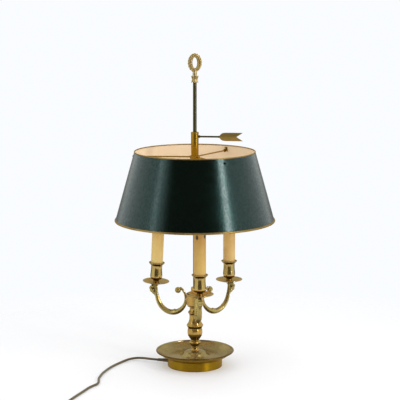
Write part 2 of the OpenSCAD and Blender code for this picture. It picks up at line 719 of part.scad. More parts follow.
foot_drum();
dish_tray();
ballast();
base_cover();
felt_pad();
tie_tube();
tie_nuts();
stem_foot();
stem_knop();
stem_vase();
stem_column();
arm_hub();
hub_cap();
pole();
finial_collar();
finial_ring();
arm_front();
arm_right();
arm_left();
arm_screws();
drip_pan_front();
drip_pan_right();
drip_pan_left();
candle_cup_front();
candle_cup_right();
candle_cup_left();
riser_tubes();
candle_front();
candle_right();
candle_left();
lamp_holder_front();
lamp_holder_right();
lamp_holder_left();
bulb_cap_front();
bulb_cap_right();
bulb_cap_left();
bulb_front();
bulb_right();
bulb_left();
grip_liner();
slide_sleeve();
sleeve_cap();
spider();
spider_nuts();
shade_shell();
shade_top_rim();
shade_low_bead();
shade_screws();
arrow_key();
cord_bushing();
cord_run();
switch_base();
switch_cover();
switch_rocker();
cord_link();
cord_coil();
cord_tail();
plug_body();
plug_pins();
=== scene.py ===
import logging
import math
from dataclasses import dataclass, field
from enum import Enum
from typing import Callable, ClassVar, Optional, Sequence

import bmesh
import bpy
from mathutils import Matrix, Vector


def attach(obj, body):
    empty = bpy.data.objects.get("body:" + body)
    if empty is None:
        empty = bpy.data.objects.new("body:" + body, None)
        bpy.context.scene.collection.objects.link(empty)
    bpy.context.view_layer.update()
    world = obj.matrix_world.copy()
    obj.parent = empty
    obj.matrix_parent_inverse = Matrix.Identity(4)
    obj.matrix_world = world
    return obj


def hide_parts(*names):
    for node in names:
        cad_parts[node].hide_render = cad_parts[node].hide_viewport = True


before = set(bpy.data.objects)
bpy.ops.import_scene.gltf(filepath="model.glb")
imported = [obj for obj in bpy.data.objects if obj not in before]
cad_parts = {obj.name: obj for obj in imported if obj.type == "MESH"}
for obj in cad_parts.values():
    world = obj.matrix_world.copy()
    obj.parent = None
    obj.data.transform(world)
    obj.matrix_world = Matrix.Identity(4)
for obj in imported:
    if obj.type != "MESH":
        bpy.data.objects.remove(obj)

log = logging.getLogger("lamp")

Point2 = tuple[float, float]
Point3 = tuple[float, float, float]
Colour = tuple[float, float, float]
Mesh = bmesh.types.BMesh
Piece = bpy.types.Object
Material = bpy.types.Material
Tree = bpy.types.NodeTree
Node = bpy.types.Node
Socket = bpy.types.NodeSocket
Sockets = bpy.types.bpy_prop_collection

MM = 0.001
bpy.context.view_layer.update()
NODES: dict[str, Piece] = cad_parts

# Sizes in mm that more than one sub-assembly uses; ARM_TURN is the front arm's direction in degrees.
ARM_TURN = -83.5
ARM_REACH = 89.5
CANDLE_R = 13.0
TIE_R = 5.0
STEM_Z = 32.0
HUB_R = 17.5
POLE_R = 3.8
POLE_TOP = 604.0
SLEEVE_R = 7.7

# Lays a form that was turned round the Z axis along +X.
ALONG_X = Matrix.Rotation(math.pi / 2, 4, "Y")


class Light(Enum):
    """The three candle lights, by the way that their arm points."""

    FRONT = 0
    RIGHT = 1
    LEFT = 2

    @property
    def word(self) -> str:
        """The light's word in the names of its pieces."""
        return self.name.lower()

    @property
    def angle(self) -> float:
        """The arm's direction in radians, anticlockwise from +X."""
        return math.radians(ARM_TURN + 120 * self.value)

    @property
    def centre(self) -> Point2:
        """The middle of the candle, in mm."""
        return ARM_REACH * math.cos(self.angle), ARM_REACH * math.sin(self.angle)


class Body(Enum):
    """The bodies that new pieces ride on."""

    BASE = "base"
    SHADE = "shade"
    KEY = "key"


# ---------------------------------------------------------------- curves and meshes


def curve(points: Sequence[Sequence[float]], steps: int) -> list[tuple[float, ...]]:
    """Runs a smooth Catmull-Rom curve through points.

    Args:
        points: Points of two or three numbers.
        steps: Steps between each two points.

    Returns:
        The points of the smooth curve, ends included.
    """
    last = len(points) - 1
    made = []
    for i in range(last):
        a, b, c, d = (points[max(i - 1, 0)], points[i], points[i + 1], points[min(i + 2, last)])
        for k in range(steps):
            t = k / steps
            made.append(tuple(
                (2 * q + t * (r - p) + t * t * (2 * p - 5 * q + 4 * r - s)
                 + t ** 3 * (3 * q - p - 3 * r + s)) / 2 for p, q, r, s in zip(a, b, c, d)))
    made.append(tuple(points[last]))
    return made


def at(table: Sequence[float], place: float) -> float:
    """Reads a table of evenly spaced values at a place between two of them.

    Args:
        table: Values at 0, 1, 2 and so on.
        place: Where to read it.

    Returns:
        The value there, on a straight line between its neighbours.
    """
    low = min(max(int(place), 0), len(table) - 2)
    share = min(max(place - low, 0.0), 1.0)
    return table[low] * (1 - share) + table[low + 1] * share


def rounded(outline: Sequence[Point2], radius: float, bend: float = 22.0) -> list[Point2]:
    """Rounds the sharp corners of a closed outline, and holds the flats beside them flat.

    Args:
        outline: The corners, in mm.
        radius: Radius of the rounding, in mm.
        bend: Corners that bend less than this many degrees stay as they are.

    Returns:
        The outline with small arcs at its corners.
    """
    made: list[Point2] = []
    count = len(outline)
    for i in range(count):
        here = Vector(outline[i])
        back = Vector(outline[i - 1]) - here
        ahead = Vector(outline[(i + 1) % count]) - here
        if back.length < 1e-6 or ahead.length < 1e-6:
            continue
        turn = math.pi - back.angle(ahead)
        if math.degrees(turn) < bend or here.x < 1e-6:
            made.append((here.x, here.y))
            continue
        reach = min(radius * math.tan(turn / 2), 0.3 * back.length, 0.3 * ahead.length)
        start, end = here + back.normalized() * reach, here + ahead.normalized() * reach
        made.append(tuple(here + back.normalized() * min(reach * 1.8, 0.45 * back.length)))
        for k in range(4):
            t = k / 3
            made.append(tuple(start * (1 - t) ** 2 + here * 2 * t * (1 - t) + end * t * t))
        made.append(tuple(here + ahead.normalized() * min(reach * 1.8, 0.45 * ahead.length)))
    return made


def new_piece(name: str, mesh: Mesh, smooth: bool = True, crease: float = 50.0) -> Piece:
    """Turns a bmesh into a scene object in metres, with its faces pointing outwards.

    Args:
        name: The piece's name.
        mesh: The mesh in mm, freed here.
        smooth: Whether its faces are shaded smooth.
        crease: Edges that bend more than this many degrees stay sharp.

    Returns:
        The new object, at the origin.
    """
    bmesh.ops.remove_doubles(mesh, verts=mesh.verts, dist=1e-5)
    bmesh.ops.recalc_face_normals(mesh, faces=mesh.faces)
    bmesh.ops.scale(mesh, vec=(MM, MM, MM), verts=mesh.verts)
    data = bpy.data.meshes.new(name)
    mesh.to_mesh(data)
    mesh.free()
    if smooth:
        data.shade_smooth()
        data.set_sharp_from_angle(angle=math.radians(crease))
    piece = bpy.data.objects.new(name, data)
    bpy.context.scene.collection.objects.link(piece)
    return piece


def round_about(count: int) -> list[float]:
    """Evenly spaced angles round a circle, in radians."""
    return [2 * math.pi * k / count for k in range(count)]


Shaper = Callable[[float, float, float], float]


def lathe(mesh: Mesh, outline: Sequence[Point2], segments: int = 96,
          place: Matrix = Matrix.Identity(4), shape: Optional[Shaper] = None) -> list[bmesh.types.BMFace]:
    """Turns a closed outline of (radius, height) round the Z axis.

    Args:
        mesh: The mesh that takes the faces.
        outline: The corners in mm; a corner on the axis makes a pole.
        segments: Steps round the axis.
        place: Where the turned form goes.
        shape: Gives another radius from (radius, height, angle), for forms that aren't quite round.

    Returns:
        The new faces.
    """
    rings = []
    for radius, height in outline:
        if radius < 1e-6:
            rings.append([mesh.verts.new(place @ Vector((0, 0, height)))] * segments)
            continue
        ring = []
        for a in round_about(segments):
            r = shape(radius, height, a) if shape else radius
            ring.append(mesh.verts.new(place @ Vector((r * math.cos(a), r * math.sin(a), height))))
        rings.append(ring)
    faces = []
    for i, ring in enumerate(rings):
        ahead = rings[(i + 1) % len(rings)]
        for k in range(segments):
            m = (k + 1) % segments
            corners = list(dict.fromkeys((ring[k], ring[m], ahead[m], ahead[k])))
            if len(corners) > 2:
                faces.append(mesh.faces.new(corners))
    return faces


def turned(outline: Sequence[Point2], bore: float) -> list[Point2]:
    """Closes the outside of a turned piece down to its bore.

    Args:
        outline: The outside, from its low end to its top, in mm.
        bore: The bore's radius.

    Returns:
        The closed outline.
    """
    return [(bore, outline[0][1]), *map(tuple, outline), (bore, outline[-1][1])]


def rolled_sheet(upper: Sequence[Point2], thick: float, centre: Point2, radius: float) -> list[Point2]:
    """Closes the section of spun sheet metal that ends in a rolled edge.

    Args:
        upper: The upper surface, from the bore outwards, in mm.
        thick: The sheet's thickness.
        centre: The middle of the roll.
        radius: The roll's radius.

    Returns:
        The closed outline.
    """
    roll = [(centre[0] + radius * math.cos(math.radians(155 - 15 * k)),
             centre[1] + radius * math.sin(math.radians(155 - 15 * k))) for k in range(20)]
    return [*map(tuple, upper), *roll, *((r, z - thick) for r, z in reversed(upper))]


Section = Callable[[float, float], Point2]


def sweep(mesh: Mesh, path: Sequence[Point3], section: Section, side: Point3,
          sides: int, place: Matrix = Matrix.Identity(4), closed: bool = False) -> None:
    """Sweeps a section along a path, and closes its ends.

    Args:
        mesh: The mesh that takes the faces.
        path: Points in mm.
        section: Gives (across, outward) in mm from the share of the path and the angle round it.
        side: The direction that across follows.
        sides: Steps round the section.
        place: Where the form goes.
        closed: Whether the path runs on from its last point to its first.
    """
    count = len(path)
    points = [Vector(p) for p in path]
    rings = []
    for i, here in enumerate(points):
        if closed:
            along = points[(i + 1) % count] - points[i - 1]
        else:
            along = points[min(i + 1, count - 1)] - points[max(i - 1, 0)]
        along.normalize()
        across = Vector(side) - along * along.dot(Vector(side))
        across.normalize()
        outward = along.cross(across)
        ring = []
        for a in round_about(sides):
            u, v = section(i / (count if closed else count - 1), a)
            ring.append(mesh.verts.new(place @ (here + across * u + outward * v)))
        rings.append(ring)
    for i in range(count if closed else count - 1):
        ahead = rings[(i + 1) % count]
        for k in range(sides):
            m = (k + 1) % sides
            mesh.faces.new((rings[i][k], rings[i][m], ahead[m], ahead[k]))
    if not closed:
        for ring in (rings[0], rings[-1]):
            middle = mesh.verts.new(sum((v.co for v in ring), Vector()) / sides)
            for k in range(sides):
                mesh.faces.new((ring[k], ring[(k + 1) % sides], middle))


def turned_piece(name: str, outline: Sequence[Point2], place: Matrix = Matrix.Identity(4),
                 fillet: float = 0.3, segments: int = 96,
                 shape: Optional[Shaper] = None) -> Piece:
    """Makes one turned piece, with its corners rounded.

    Args:
        name: The piece's name.
        outline: The closed outline in mm.
        place: Where it stands.
        fillet: Radius of its rounded corners.
        segments: Steps round the axis.
        shape: As in lathe.

    Returns:
        The piece.
    """
    mesh = bmesh.new()
    lathe(mesh, rounded(outline, fillet), segments, place, shape)
    return new_piece(name, mesh)


def coat(piece: Piece, *finishes: Material) -> None:
    """Adds materials to a piece, in the order of its faces' material numbers."""
    for finish in finishes:
        piece.data.materials.append(finish)


def applied(piece: Piece, modifier: bpy.types.Modifier) -> Piece:
    """Turns what a modifier makes of a piece into its plain mesh.

    Args:
        piece: The piece.
        modifier: Its modifier, removed here.

    Returns:
        The same object with the new mesh.
    """
    graph = bpy.context.evaluated_depsgraph_get()
    made = bpy.data.meshes.new_from_object(piece.evaluated_get(graph), depsgraph=graph)
    made.name = piece.name
    piece.modifiers.remove(modifier)
    piece.data = made
    return piece


def seat(piece: Piece, body: Body, look: Material, stands_for: Sequence[str] = ()) -> Piece:
    """Gives a piece its finish, its body and the nodes that it stands for.

    Args:
        piece: The piece.
        body: The body that it rides on.
        look: Its material, unless it already has some.
        stands_for: The nodes that it replaces.

    Returns:
        The piece.
    """
    if not piece.data.materials:
        coat(piece, look)
    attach(piece, body.value)
    if stands_for:
        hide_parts(*stands_for)
    log.info("%s rides on %s", piece.name, body.value)
    return piece


def dress(node: str, finish: Material, bevel: float = 0.0) -> None:
    """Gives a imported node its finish, and eases its edges.

    Args:
        node: The node's name.
        finish: Its material.
        bevel: Width of the eased edges in mm, or 0 for none.
    """
    piece = NODES[node]
    piece.data.materials.clear()
    coat(piece, finish)
    if bevel:
        piece.data.shade_smooth()
        weld = piece.modifiers.new("weld", "WELD")
        weld.merge_threshold = 1e-5
        ease = piece.modifiers.new("ease", "BEVEL")
        ease.width, ease.segments = bevel * MM, 2
        ease.limit_method, ease.angle_limit = "ANGLE", math.radians(32)
        ease.use_clamp_overlap = True
        even = piece.modifiers.new("even", "WEIGHTED_NORMAL")
        even.keep_sharp = True
    log.info("%s dressed in %s", node, finish.name)


# ---------------------------------------------------------------- shader building


@dataclass
class Graph:
    """A node tree, with short calls to add to it."""

    tree: Tree

    # The Mix node's sockets for colours, among those for its other kinds of data.
    MIX_COLOURS: ClassVar[slice] = slice(6, 8)
    MIX_RESULT: ClassVar[int] = 2

    def add(self, kind: str, *values: object, **settings: object) -> Node:
        """Adds a node.

        Args:
            kind: The node's type.
            *values: What its first inputs take, in order.
            **settings: Its properties.

        Returns:
            The node.
        """
        node = self.tree.nodes.new(kind)
        for key, value in settings.items():
            setattr(node, key, value)
        for socket, value in zip(node.inputs, values):
            self.feed(socket, value)
        return node

    def feed(self, socket: Socket, value: object) -> None:
        """Links a socket into another, or sets its value.

        Args:
            socket: The input.
            value: A socket to link, a plain value, or None to leave the input alone.
        """
        if isinstance(value, bpy.types.NodeSocket):
            self.tree.links.new(value, socket)
        elif value is not None:
            socket.default_value = value

    def put(self, node: Node, **values: object) -> Node:
        """Feeds a node's inputs by name.

        Args:
            node: The node.
            **values: What the inputs take, with an underscore for a space in a name.

        Returns:
            The node.
        """
        for key, value in values.items():
            self.feed(node.inputs[key.replace("_", " ")], value)
        return node

    def maths(self, operation: str, *values: object) -> Socket:
        """The result of a Math node on sockets or numbers."""
        return self.add("ShaderNodeMath", *values, operation=operation).outputs[0]

    def times(self, one: object, other: object) -> Socket:
        """The product of two sockets or numbers."""
        return self.maths("MULTIPLY", one, other)

    def plus(self, one: object, other: object) -> Socket:
        """The sum of two sockets or numbers."""
        return self.maths("ADD", one, other)

    def less(self, one: object, other: object) -> Socket:
        """The first of two sockets or numbers less the second."""
        return self.maths("SUBTRACT", one, other)

    def vectors(self, operation: str, *values: object) -> Socket:
        """The vector that a Vector Math node makes."""
        return self.add("ShaderNodeVectorMath", *values, operation=operation).outputs[0]

    def scaled(self, vector: Socket, factor: Socket) -> Socket:
        """A vector times a number."""
        return self.put(self.add("ShaderNodeVectorMath", vector, operation="SCALE"), Scale=factor).outputs[0]

    def joined(self, *parts: object) -> Socket:
        """A vector of up to three sockets or numbers; a part that is None or left out is 0."""
        return self.add("ShaderNodeCombineXYZ", *parts).outputs[0]

    def parts(self, vector: Socket) -> Sockets:
        """The x, y and z of a vector."""
        return self.add("ShaderNodeSeparateXYZ", vector).outputs

    @property
    def normal(self) -> Socket:
        """The surface's own normal."""
        return self.add("ShaderNodeNewGeometry").outputs["Normal"]

    @property
    def upward(self) -> Socket:
        """How far the surface faces up, from -1 to 1."""
        return self.parts(self.normal)[2]

    def mixed(self, share: object, low: object, high: object) -> Socket:
        """Mixes two colours.

        Args:
            share: How much of the second.
            low: The first colour.
            high: The second colour.

        Returns:
            The mixed colour.
        """
        node = self.add("ShaderNodeMix", share, data_type="RGBA")
        for socket, colour in zip(node.inputs[self.MIX_COLOURS], (low, high)):
            self.feed(socket, (*colour, 1) if isinstance(colour, tuple) else colour)
        return node.outputs[self.MIX_RESULT]

    def spread(self, value: object, low: object, high: object, to_low: object = 0.0,
               to_high: object = 1.0) -> Socket:
        """Maps the values from low to high smoothly onto those from to_low to to_high."""
        return self.add("ShaderNodeMapRange", value, low, high, to_low, to_high,
                        interpolation_type="SMOOTHSTEP").outputs[0]

    def noise(self, vector: Socket, scale: object, detail: float = 3.0, rough: float = 0.55) -> Socket:
        """A noise from 0 to 1; rough is how strong its fine detail is."""
        node = self.add("ShaderNodeTexNoise")
        return self.put(node, Vector=vector, Scale=scale, Detail=detail, Roughness=rough).outputs["Fac"]

    def grouped(self, group: Tree, **values: object) -> Socket:
        """The first output of a shader group, with its inputs fed by name."""
        return self.put(self.add("ShaderNodeGroup", node_tree=group), **values).outputs[0]

    def bumped(self, height: Socket, distance: float, strength: float = 1.0,
               under: Optional[Socket] = None) -> Socket:
        """Turns a height into a normal.

        Args:
            height: The height, 0 to 1.
            distance: What a height of 1 stands for, in metres.
            strength: How much of it shows.
            under: A normal that it lies on.

        Returns:
            The normal.
        """
        node = self.add("ShaderNodeBump")
        return self.put(node, Strength=strength, Distance=distance, Height=height, Normal=under).outputs[0]


def shader_group(name: str, inputs: dict[str, float], output: str,
                 build: Callable[[Graph, Sockets], Socket]) -> Tree:
    """Makes a shader node group with one output.

    Args:
        name: The group's name.
        inputs: Its number inputs with their usual values; a Vector input is always added first.
        output: The output's name.
        build: Builds the nodes from the graph and the group's inputs, and returns the result.

    Returns:
        The group.
    """
    tree = bpy.data.node_groups.new(name, "ShaderNodeTree")
    tree.interface.new_socket("Vector", in_out="INPUT", socket_type="NodeSocketVector")
    for key, value in inputs.items():
        made = tree.interface.new_socket(key, in_out="INPUT", socket_type="NodeSocketFloat")
        made.default_value = value
    tree.interface.new_socket(output, in_out="OUTPUT", socket_type="NodeSocketFloat")
    graph = Graph(tree)
    graph.add("NodeGroupOutput", build(graph, graph.add("NodeGroupInput").outputs))
    return tree


def build_tarnish(g: Graph, given: Sockets) -> Socket:
    """Soft blotches with finer specks inside them.

    Args:
        g: The group's graph.
        given: The group's inputs.

    Returns:
        The mask.
    """
    broad = g.noise(given["Vector"], given["Scale"], 4.0, 0.62)
    fine = g.noise(given["Vector"], g.times(given["Scale"], 9.0), 2.0)
    mask = g.spread(g.plus(g.times(broad, 0.72), g.times(fine, 0.28)), 0.38, 0.64)
    return g.times(mask, given["Amount"])


def build_lathe_marks(g: Graph, given: Sockets) -> Socket:
    """Fine rings round the Z axis, as a turning tool leaves them.

    Args:
        g: The group's graph.
        given: The group's inputs.

    Returns:
        The height.
    """
    x, y, z = g.parts(given["Vector"])
    radius = g.maths("SQRT", g.plus(g.times(x, x), g.times(y, y)))
    return g.noise(g.joined(radius, z), given["Density"], 3.0, 0.7)


def build_hollow_dirt_and_shade(g: Graph, given: Sockets) -> Socket:
    """Where dirt settles and where shade falls, in corners and under edges; found by ambient occlusion, so it
    paints shade as well as dirt.

    Args:
        g: The group's graph.
        given: The group's inputs.

    Returns:
        The mask.
    """
    near = g.put(g.add("ShaderNodeAmbientOcclusion", samples=6), Distance=given["Distance"])
    grain = g.noise(given["Vector"], 260.0, 2.0)
    return g.spread(g.plus(near.outputs["AO"], g.times(grain, 0.25)), 0.95, 0.35)


def build_edge_wear(g: Graph, given: Sockets) -> Socket:
    """Where hands and cloths rub: along the edges, broken up by noise.

    Args:
        g: The group's graph.
        given: The group's inputs.

    Returns:
        The mask.
    """
    ease = g.put(g.add("ShaderNodeBevel", samples=4), Radius=given["Radius"]).outputs[0]
    facing = g.add("ShaderNodeVectorMath", ease, g.normal, operation="DOT_PRODUCT").outputs["Value"]
    return g.times(g.spread(facing, 0.995, 0.88), g.spread(g.noise(given["Vector"], 90.0), 0.32, 0.6))


def build_dust(g: Graph, given: Sockets) -> Socket:
    """A thin veil of dust on what faces upwards.

    Args:
        g: The group's graph.
        given: The group's inputs.

    Returns:
        The mask.
    """
    grain = g.spread(g.noise(given["Vector"], 45.0, 5.0, 0.7), 0.3, 0.7)
    return g.times(g.times(g.spread(g.upward, 0.35, 1.0), grain), given["Amount"])


TARNISH = shader_group("tarnish", {"Scale": 20.0, "Amount": 1.0}, "Mask", build_tarnish)
LATHE_MARKS = shader_group("lathe_marks", {"Density": 1500.0}, "Height", build_lathe_marks)
# Darkens corners and crevices found by ambient occlusion: dirt, and painted shade where light doesn't reach.
HOLLOW_DIRT_AND_SHADE = shader_group("hollows", {"Distance": 0.006}, "Mask", build_hollow_dirt_and_shade)
EDGE_WEAR = shader_group("edge_wear", {"Radius": 0.0008}, "Mask", build_edge_wear)
DUST = shader_group("dust", {"Amount": 0.3}, "Mask", build_dust)


def material(name: str, centre: Point2 = (0, 0)) -> tuple[Material, Graph, Node, Socket]:
    """Starts a material whose patterns are measured from a piece's own axis.

    Args:
        name: Its name.
        centre: Where the axis stands, in mm.

    Returns:
        The material, its graph, its Principled BSDF and its coordinates.
    """
    made = bpy.data.materials.new(name)
    made.use_nodes = True
    g = Graph(made.node_tree)
    place = g.put(g.add("ShaderNodeMapping"), Vector=g.add("ShaderNodeTexCoord").outputs["Object"],
                  Location=(-centre[0] * MM, -centre[1] * MM, 0))
    return made, g, made.node_tree.nodes["Principled BSDF"], place.outputs[0]


# ---------------------------------------------------------------- finishes


@dataclass(frozen=True)
class Look:
    """How a finish looks, with the name of its material."""

    name: str

    def make(self) -> Material:
        """Builds the material."""
        raise NotImplementedError


@dataclass(frozen=True)
class Brass(Look):
    """Aged brass: a clean colour, a tarnished one, dirt and painted shade in the hollows, painted shade on
    what faces down, and bright worn edges.
    """

    clean: Colour
    tarnished: Colour
    # The dark colour of dirt and of painted shade.
    dirt: Colour = (0.05, 0.032, 0.012)
    rubbed: Colour = (0.60, 0.45, 0.22)
    gloss: float = 0.16
    dull: float = 0.3
    blotches: float = 26.0
    amount: float = 0.75
    marks: float = 0.000006
    density: float = 1500.0
    dents: float = 0.00005
    hollow: float = 0.006
    metal: float = 0.76
    coat: float = 0.35
    edge: Colour = (0.85, 0.68, 0.36)
    # How far surfaces that face down are darkened: painted shade.
    under: float = 0.0
    wear: float = 0.0007
    brushed: float = 0.0
    centre: Point2 = (0, 0)

    def make(self) -> Material:
        """Builds the material.

        Returns:
            The material.
        """
        made, g, surface, where = material(self.name, self.centre)
        old = g.grouped(TARNISH, Vector=where, Scale=self.blotches, Amount=self.amount)
        # Dirt and painted shade in the hollows.
        dirt_and_shade_mask = g.grouped(HOLLOW_DIRT_AND_SHADE, Vector=where, Distance=self.hollow)
        worn = g.grouped(EDGE_WEAR, Vector=where, Radius=self.wear)
        colour = g.mixed(old, self.clean, self.tarnished)
        colour = g.mixed(g.times(dirt_and_shade_mask, 0.8), colour, self.dirt)
        # Painted shade: surfaces that face down take the dark colour.
        if self.under:
            colour = g.mixed(g.spread(g.upward, 0.0, -0.5, 0.0, self.under), colour, self.dirt)
        colour = g.mixed(g.times(worn, 0.55), colour, self.rubbed)
        rough = g.spread(g.plus(old, g.times(dirt_and_shade_mask, 0.5)), 0.0, 1.2, self.gloss, self.dull)
        rings = g.bumped(g.grouped(LATHE_MARKS, Vector=where, Density=self.density), self.marks)
        g.put(surface, Base_Color=colour, Metallic=self.metal, Roughness=rough,
              Specular_Tint=(*self.edge, 1), Coat_Weight=self.coat, Coat_Roughness=0.12,
              Normal=g.bumped(g.noise(where, 130.0), self.dents, 0.5, rings))
        if self.brushed:
            tangent = g.add("ShaderNodeTangent", direction_type="RADIAL", axis="Z").outputs[0]
            g.put(surface, Anisotropic=self.brushed, Anisotropic_Rotation=0.25, Tangent=tangent)
        return made


@dataclass(frozen=True)
class Lacquer(Look):
    """Painted sheet metal with a soft gloss, a clear coat of uneven thickness and a little dust."""

    colour: Colour
    faded: Colour
    gloss: float = 0.26
    coat: float = 0.25
    skin: float = 0.32
    peel: float = 0.00001
    tint: Colour = (1.0, 1.0, 1.0)
    depth: float = 1.5
    dust: Colour = (0.5, 0.5, 0.46)

    def make(self) -> Material:
        """Builds the material.

        Returns:
            The material.
        """
        made, g, surface, where = material(self.name)
        old = g.grouped(TARNISH, Vector=where, Scale=9.0, Amount=0.6)
        dusty = g.grouped(DUST, Vector=where, Amount=0.12)
        fine = g.bumped(g.noise(where, 280.0, 2.0), self.peel)
        g.put(surface, Base_Color=g.mixed(dusty, g.mixed(old, self.colour, self.faded), self.dust),
              Roughness=g.spread(old, 0.0, 1.0, self.gloss, self.gloss + 0.12), Coat_Roughness=0.17,
              IOR=self.depth, Specular_Tint=(*self.tint, 1),
              Normal=g.bumped(g.noise(where, 16.0, 2.0), 0.0004, 0.3, fine))
        if self.coat:
            thin, thick = self.coat * (1 - self.skin), self.coat * (1 + self.skin)
            g.put(surface, Coat_Weight=g.spread(g.noise(where, 300.0, 1.0), 0.36, 0.64, thin, thick))
        return made


@dataclass(frozen=True)
class CandleCard(Look):
    """A yellowed sleeve that imitates wax, browned towards its top."""

    colour: Colour
    aged: Colour
    browned: Colour
    centre: Point2
    top: float
    marks: tuple[tuple[float, float, float], ...]
    mark_half: float = 3.0
    scorch: Colour = (0.035, 0.014, 0.005)
    grime_and_shade: Colour = (0.12, 0.06, 0.02)

    def scorched(self, g: Graph, where: Socket) -> Socket:
        """Small brown marks, each at an angle from the front, a depth and half its length.

        Args:
            g: The material's graph.
            where: Its coordinates.

        Returns:
            The mask.
        """
        x, y, z = g.parts(where)
        around = g.maths("ARCTAN2", x, g.times(y, -1.0))
        mask: object = 0.0
        for angle, depth, half in self.marks:
            across = g.times(g.less(around, math.radians(angle)), CANDLE_R / self.mark_half)
            along = g.times(g.less(z, (self.top - depth) * MM), 1 / (half * MM))
            away = g.plus(g.times(across, across), g.times(along, along))
            mask = g.maths("MAXIMUM", mask, g.spread(away, 1.5, 0.4))
        return mask

    def make(self) -> Material:
        """Builds the material.

        Returns:
            The material.
        """
        made, g, surface, where = material(self.name, self.centre)
        old = g.grouped(TARNISH, Vector=where, Scale=34.0, Amount=0.8)
        # Dirt and painted shade in the hollows, both in the dark brown colour.
        dirt_and_shade_mask = g.grouped(HOLLOW_DIRT_AND_SHADE, Vector=where, Distance=0.005)
        runs = g.noise(g.put(g.add("ShaderNodeMapping", where), Scale=(1, 1, 0.12)).outputs[0], 120.0)
        height = g.plus(g.parts(where)[2], g.times(runs, 0.02))
        heat = g.spread(height, (self.top - 40) * MM, (self.top + 14) * MM)
        colour = g.mixed(old, self.colour, self.aged)
        colour = g.mixed(g.times(heat, 0.75), colour, self.browned)
        colour = g.mixed(g.times(self.scorched(g, where), 0.95), colour, self.scorch)
        g.put(surface, Base_Color=g.mixed(g.times(dirt_and_shade_mask, 0.6), colour, self.grime_and_shade),
              Roughness=g.spread(old, 0, 1, 0.36, 0.5), Subsurface_Weight=0.12,
              Subsurface_Radius=(0.004, 0.0025, 0.0012), Normal=g.bumped(runs, 0.00025, 0.5))
        return made


@dataclass(frozen=True)
class Moulded(Look):
    """Moulded resin or rubber with a fine grain."""

    colour: Colour
    worn: Colour
    gloss: float = 0.35
    grain: float = 700.0
    depth: float = 0.00005

    def make(self) -> Material:
        """Builds the material.

        Returns:
            The material.
        """
        made, g, surface, where = material(self.name)
        old = g.grouped(TARNISH, Vector=where, Scale=60.0, Amount=0.8)
        rubbed = g.grouped(EDGE_WEAR, Vector=where, Radius=0.0006)
        colour = g.mixed(old, self.colour, self.worn)
        g.put(surface, Base_Color=g.mixed(g.times(rubbed, 0.4), colour, self.worn),
              Roughness=g.spread(old, 0, 1, self.gloss, self.gloss + 0.15),
              Normal=g.bumped(g.noise(where, self.grain, 2.0), self.depth))
        return made


@dataclass(frozen=True)
class PlainMetal(Look):
    """Iron, or plated or blackened steel."""

    colour: Colour
    dark: Colour
    gloss: float = 0.3
    metallic: float = 1.0
    pits: float = 0.00005
    depth: float = 1.5

    def make(self) -> Material:
        """Builds the material.

        Returns:
            The material.
        """
        made, g, surface, where = material(self.name)
        old = g.grouped(TARNISH, Vector=where, Scale=70.0, Amount=0.9)
        # Tarnish, and dirt and painted shade in the hollows, both take the dark colour.
        dirt_and_shade_mask = g.grouped(HOLLOW_DIRT_AND_SHADE, Vector=where, Distance=0.003)
        g.put(surface, Base_Color=g.mixed(g.maths("MAXIMUM", old, dirt_and_shade_mask), self.colour, self.dark),
              Metallic=self.metallic, IOR=self.depth,
              Roughness=g.spread(old, 0, 1, self.gloss, self.gloss + 0.25),
              Normal=g.bumped(g.noise(where, 420.0, 4.0), self.pits))
        return made


@dataclass(frozen=True)
class Felt(Look):
    """Pressed felt or board with short fibres."""

    colour: Colour
    light: Colour

    def make(self) -> Material:
        """Builds the material.

        Returns:
            The material.
        """
        made, g, surface, where = material(self.name)
        fibres = g.noise(where, 1400.0, 4.0, 0.7)
        g.put(surface, Base_Color=g.mixed(g.spread(fibres, 0.3, 0.7), self.colour, self.light),
              Roughness=0.95, Sheen_Weight=0.4, Normal=g.bumped(fibres, 0.0003))
        return made


@dataclass(frozen=True)
class SatinGlass(Look):
    """Bulb glass with a satin inner coat."""

    def make(self) -> Material:
        """Builds the material.

        Returns:
            The material.
        """
        made, g, surface, where = material(self.name)
        cloud = g.grouped(TARNISH, Vector=where, Scale=40.0, Amount=0.5)
        g.put(surface, Base_Color=g.mixed(cloud, (0.93, 0.91, 0.86), (0.86, 0.82, 0.74)),
              Roughness=g.spread(cloud, 0, 1, 0.3, 0.4), Transmission_Weight=0.25, IOR=1.5)
        return made


def finish(look: Look) -> Material:
    """A field of Finishes that holds the material of a look."""
    return field(default_factory=look.make)


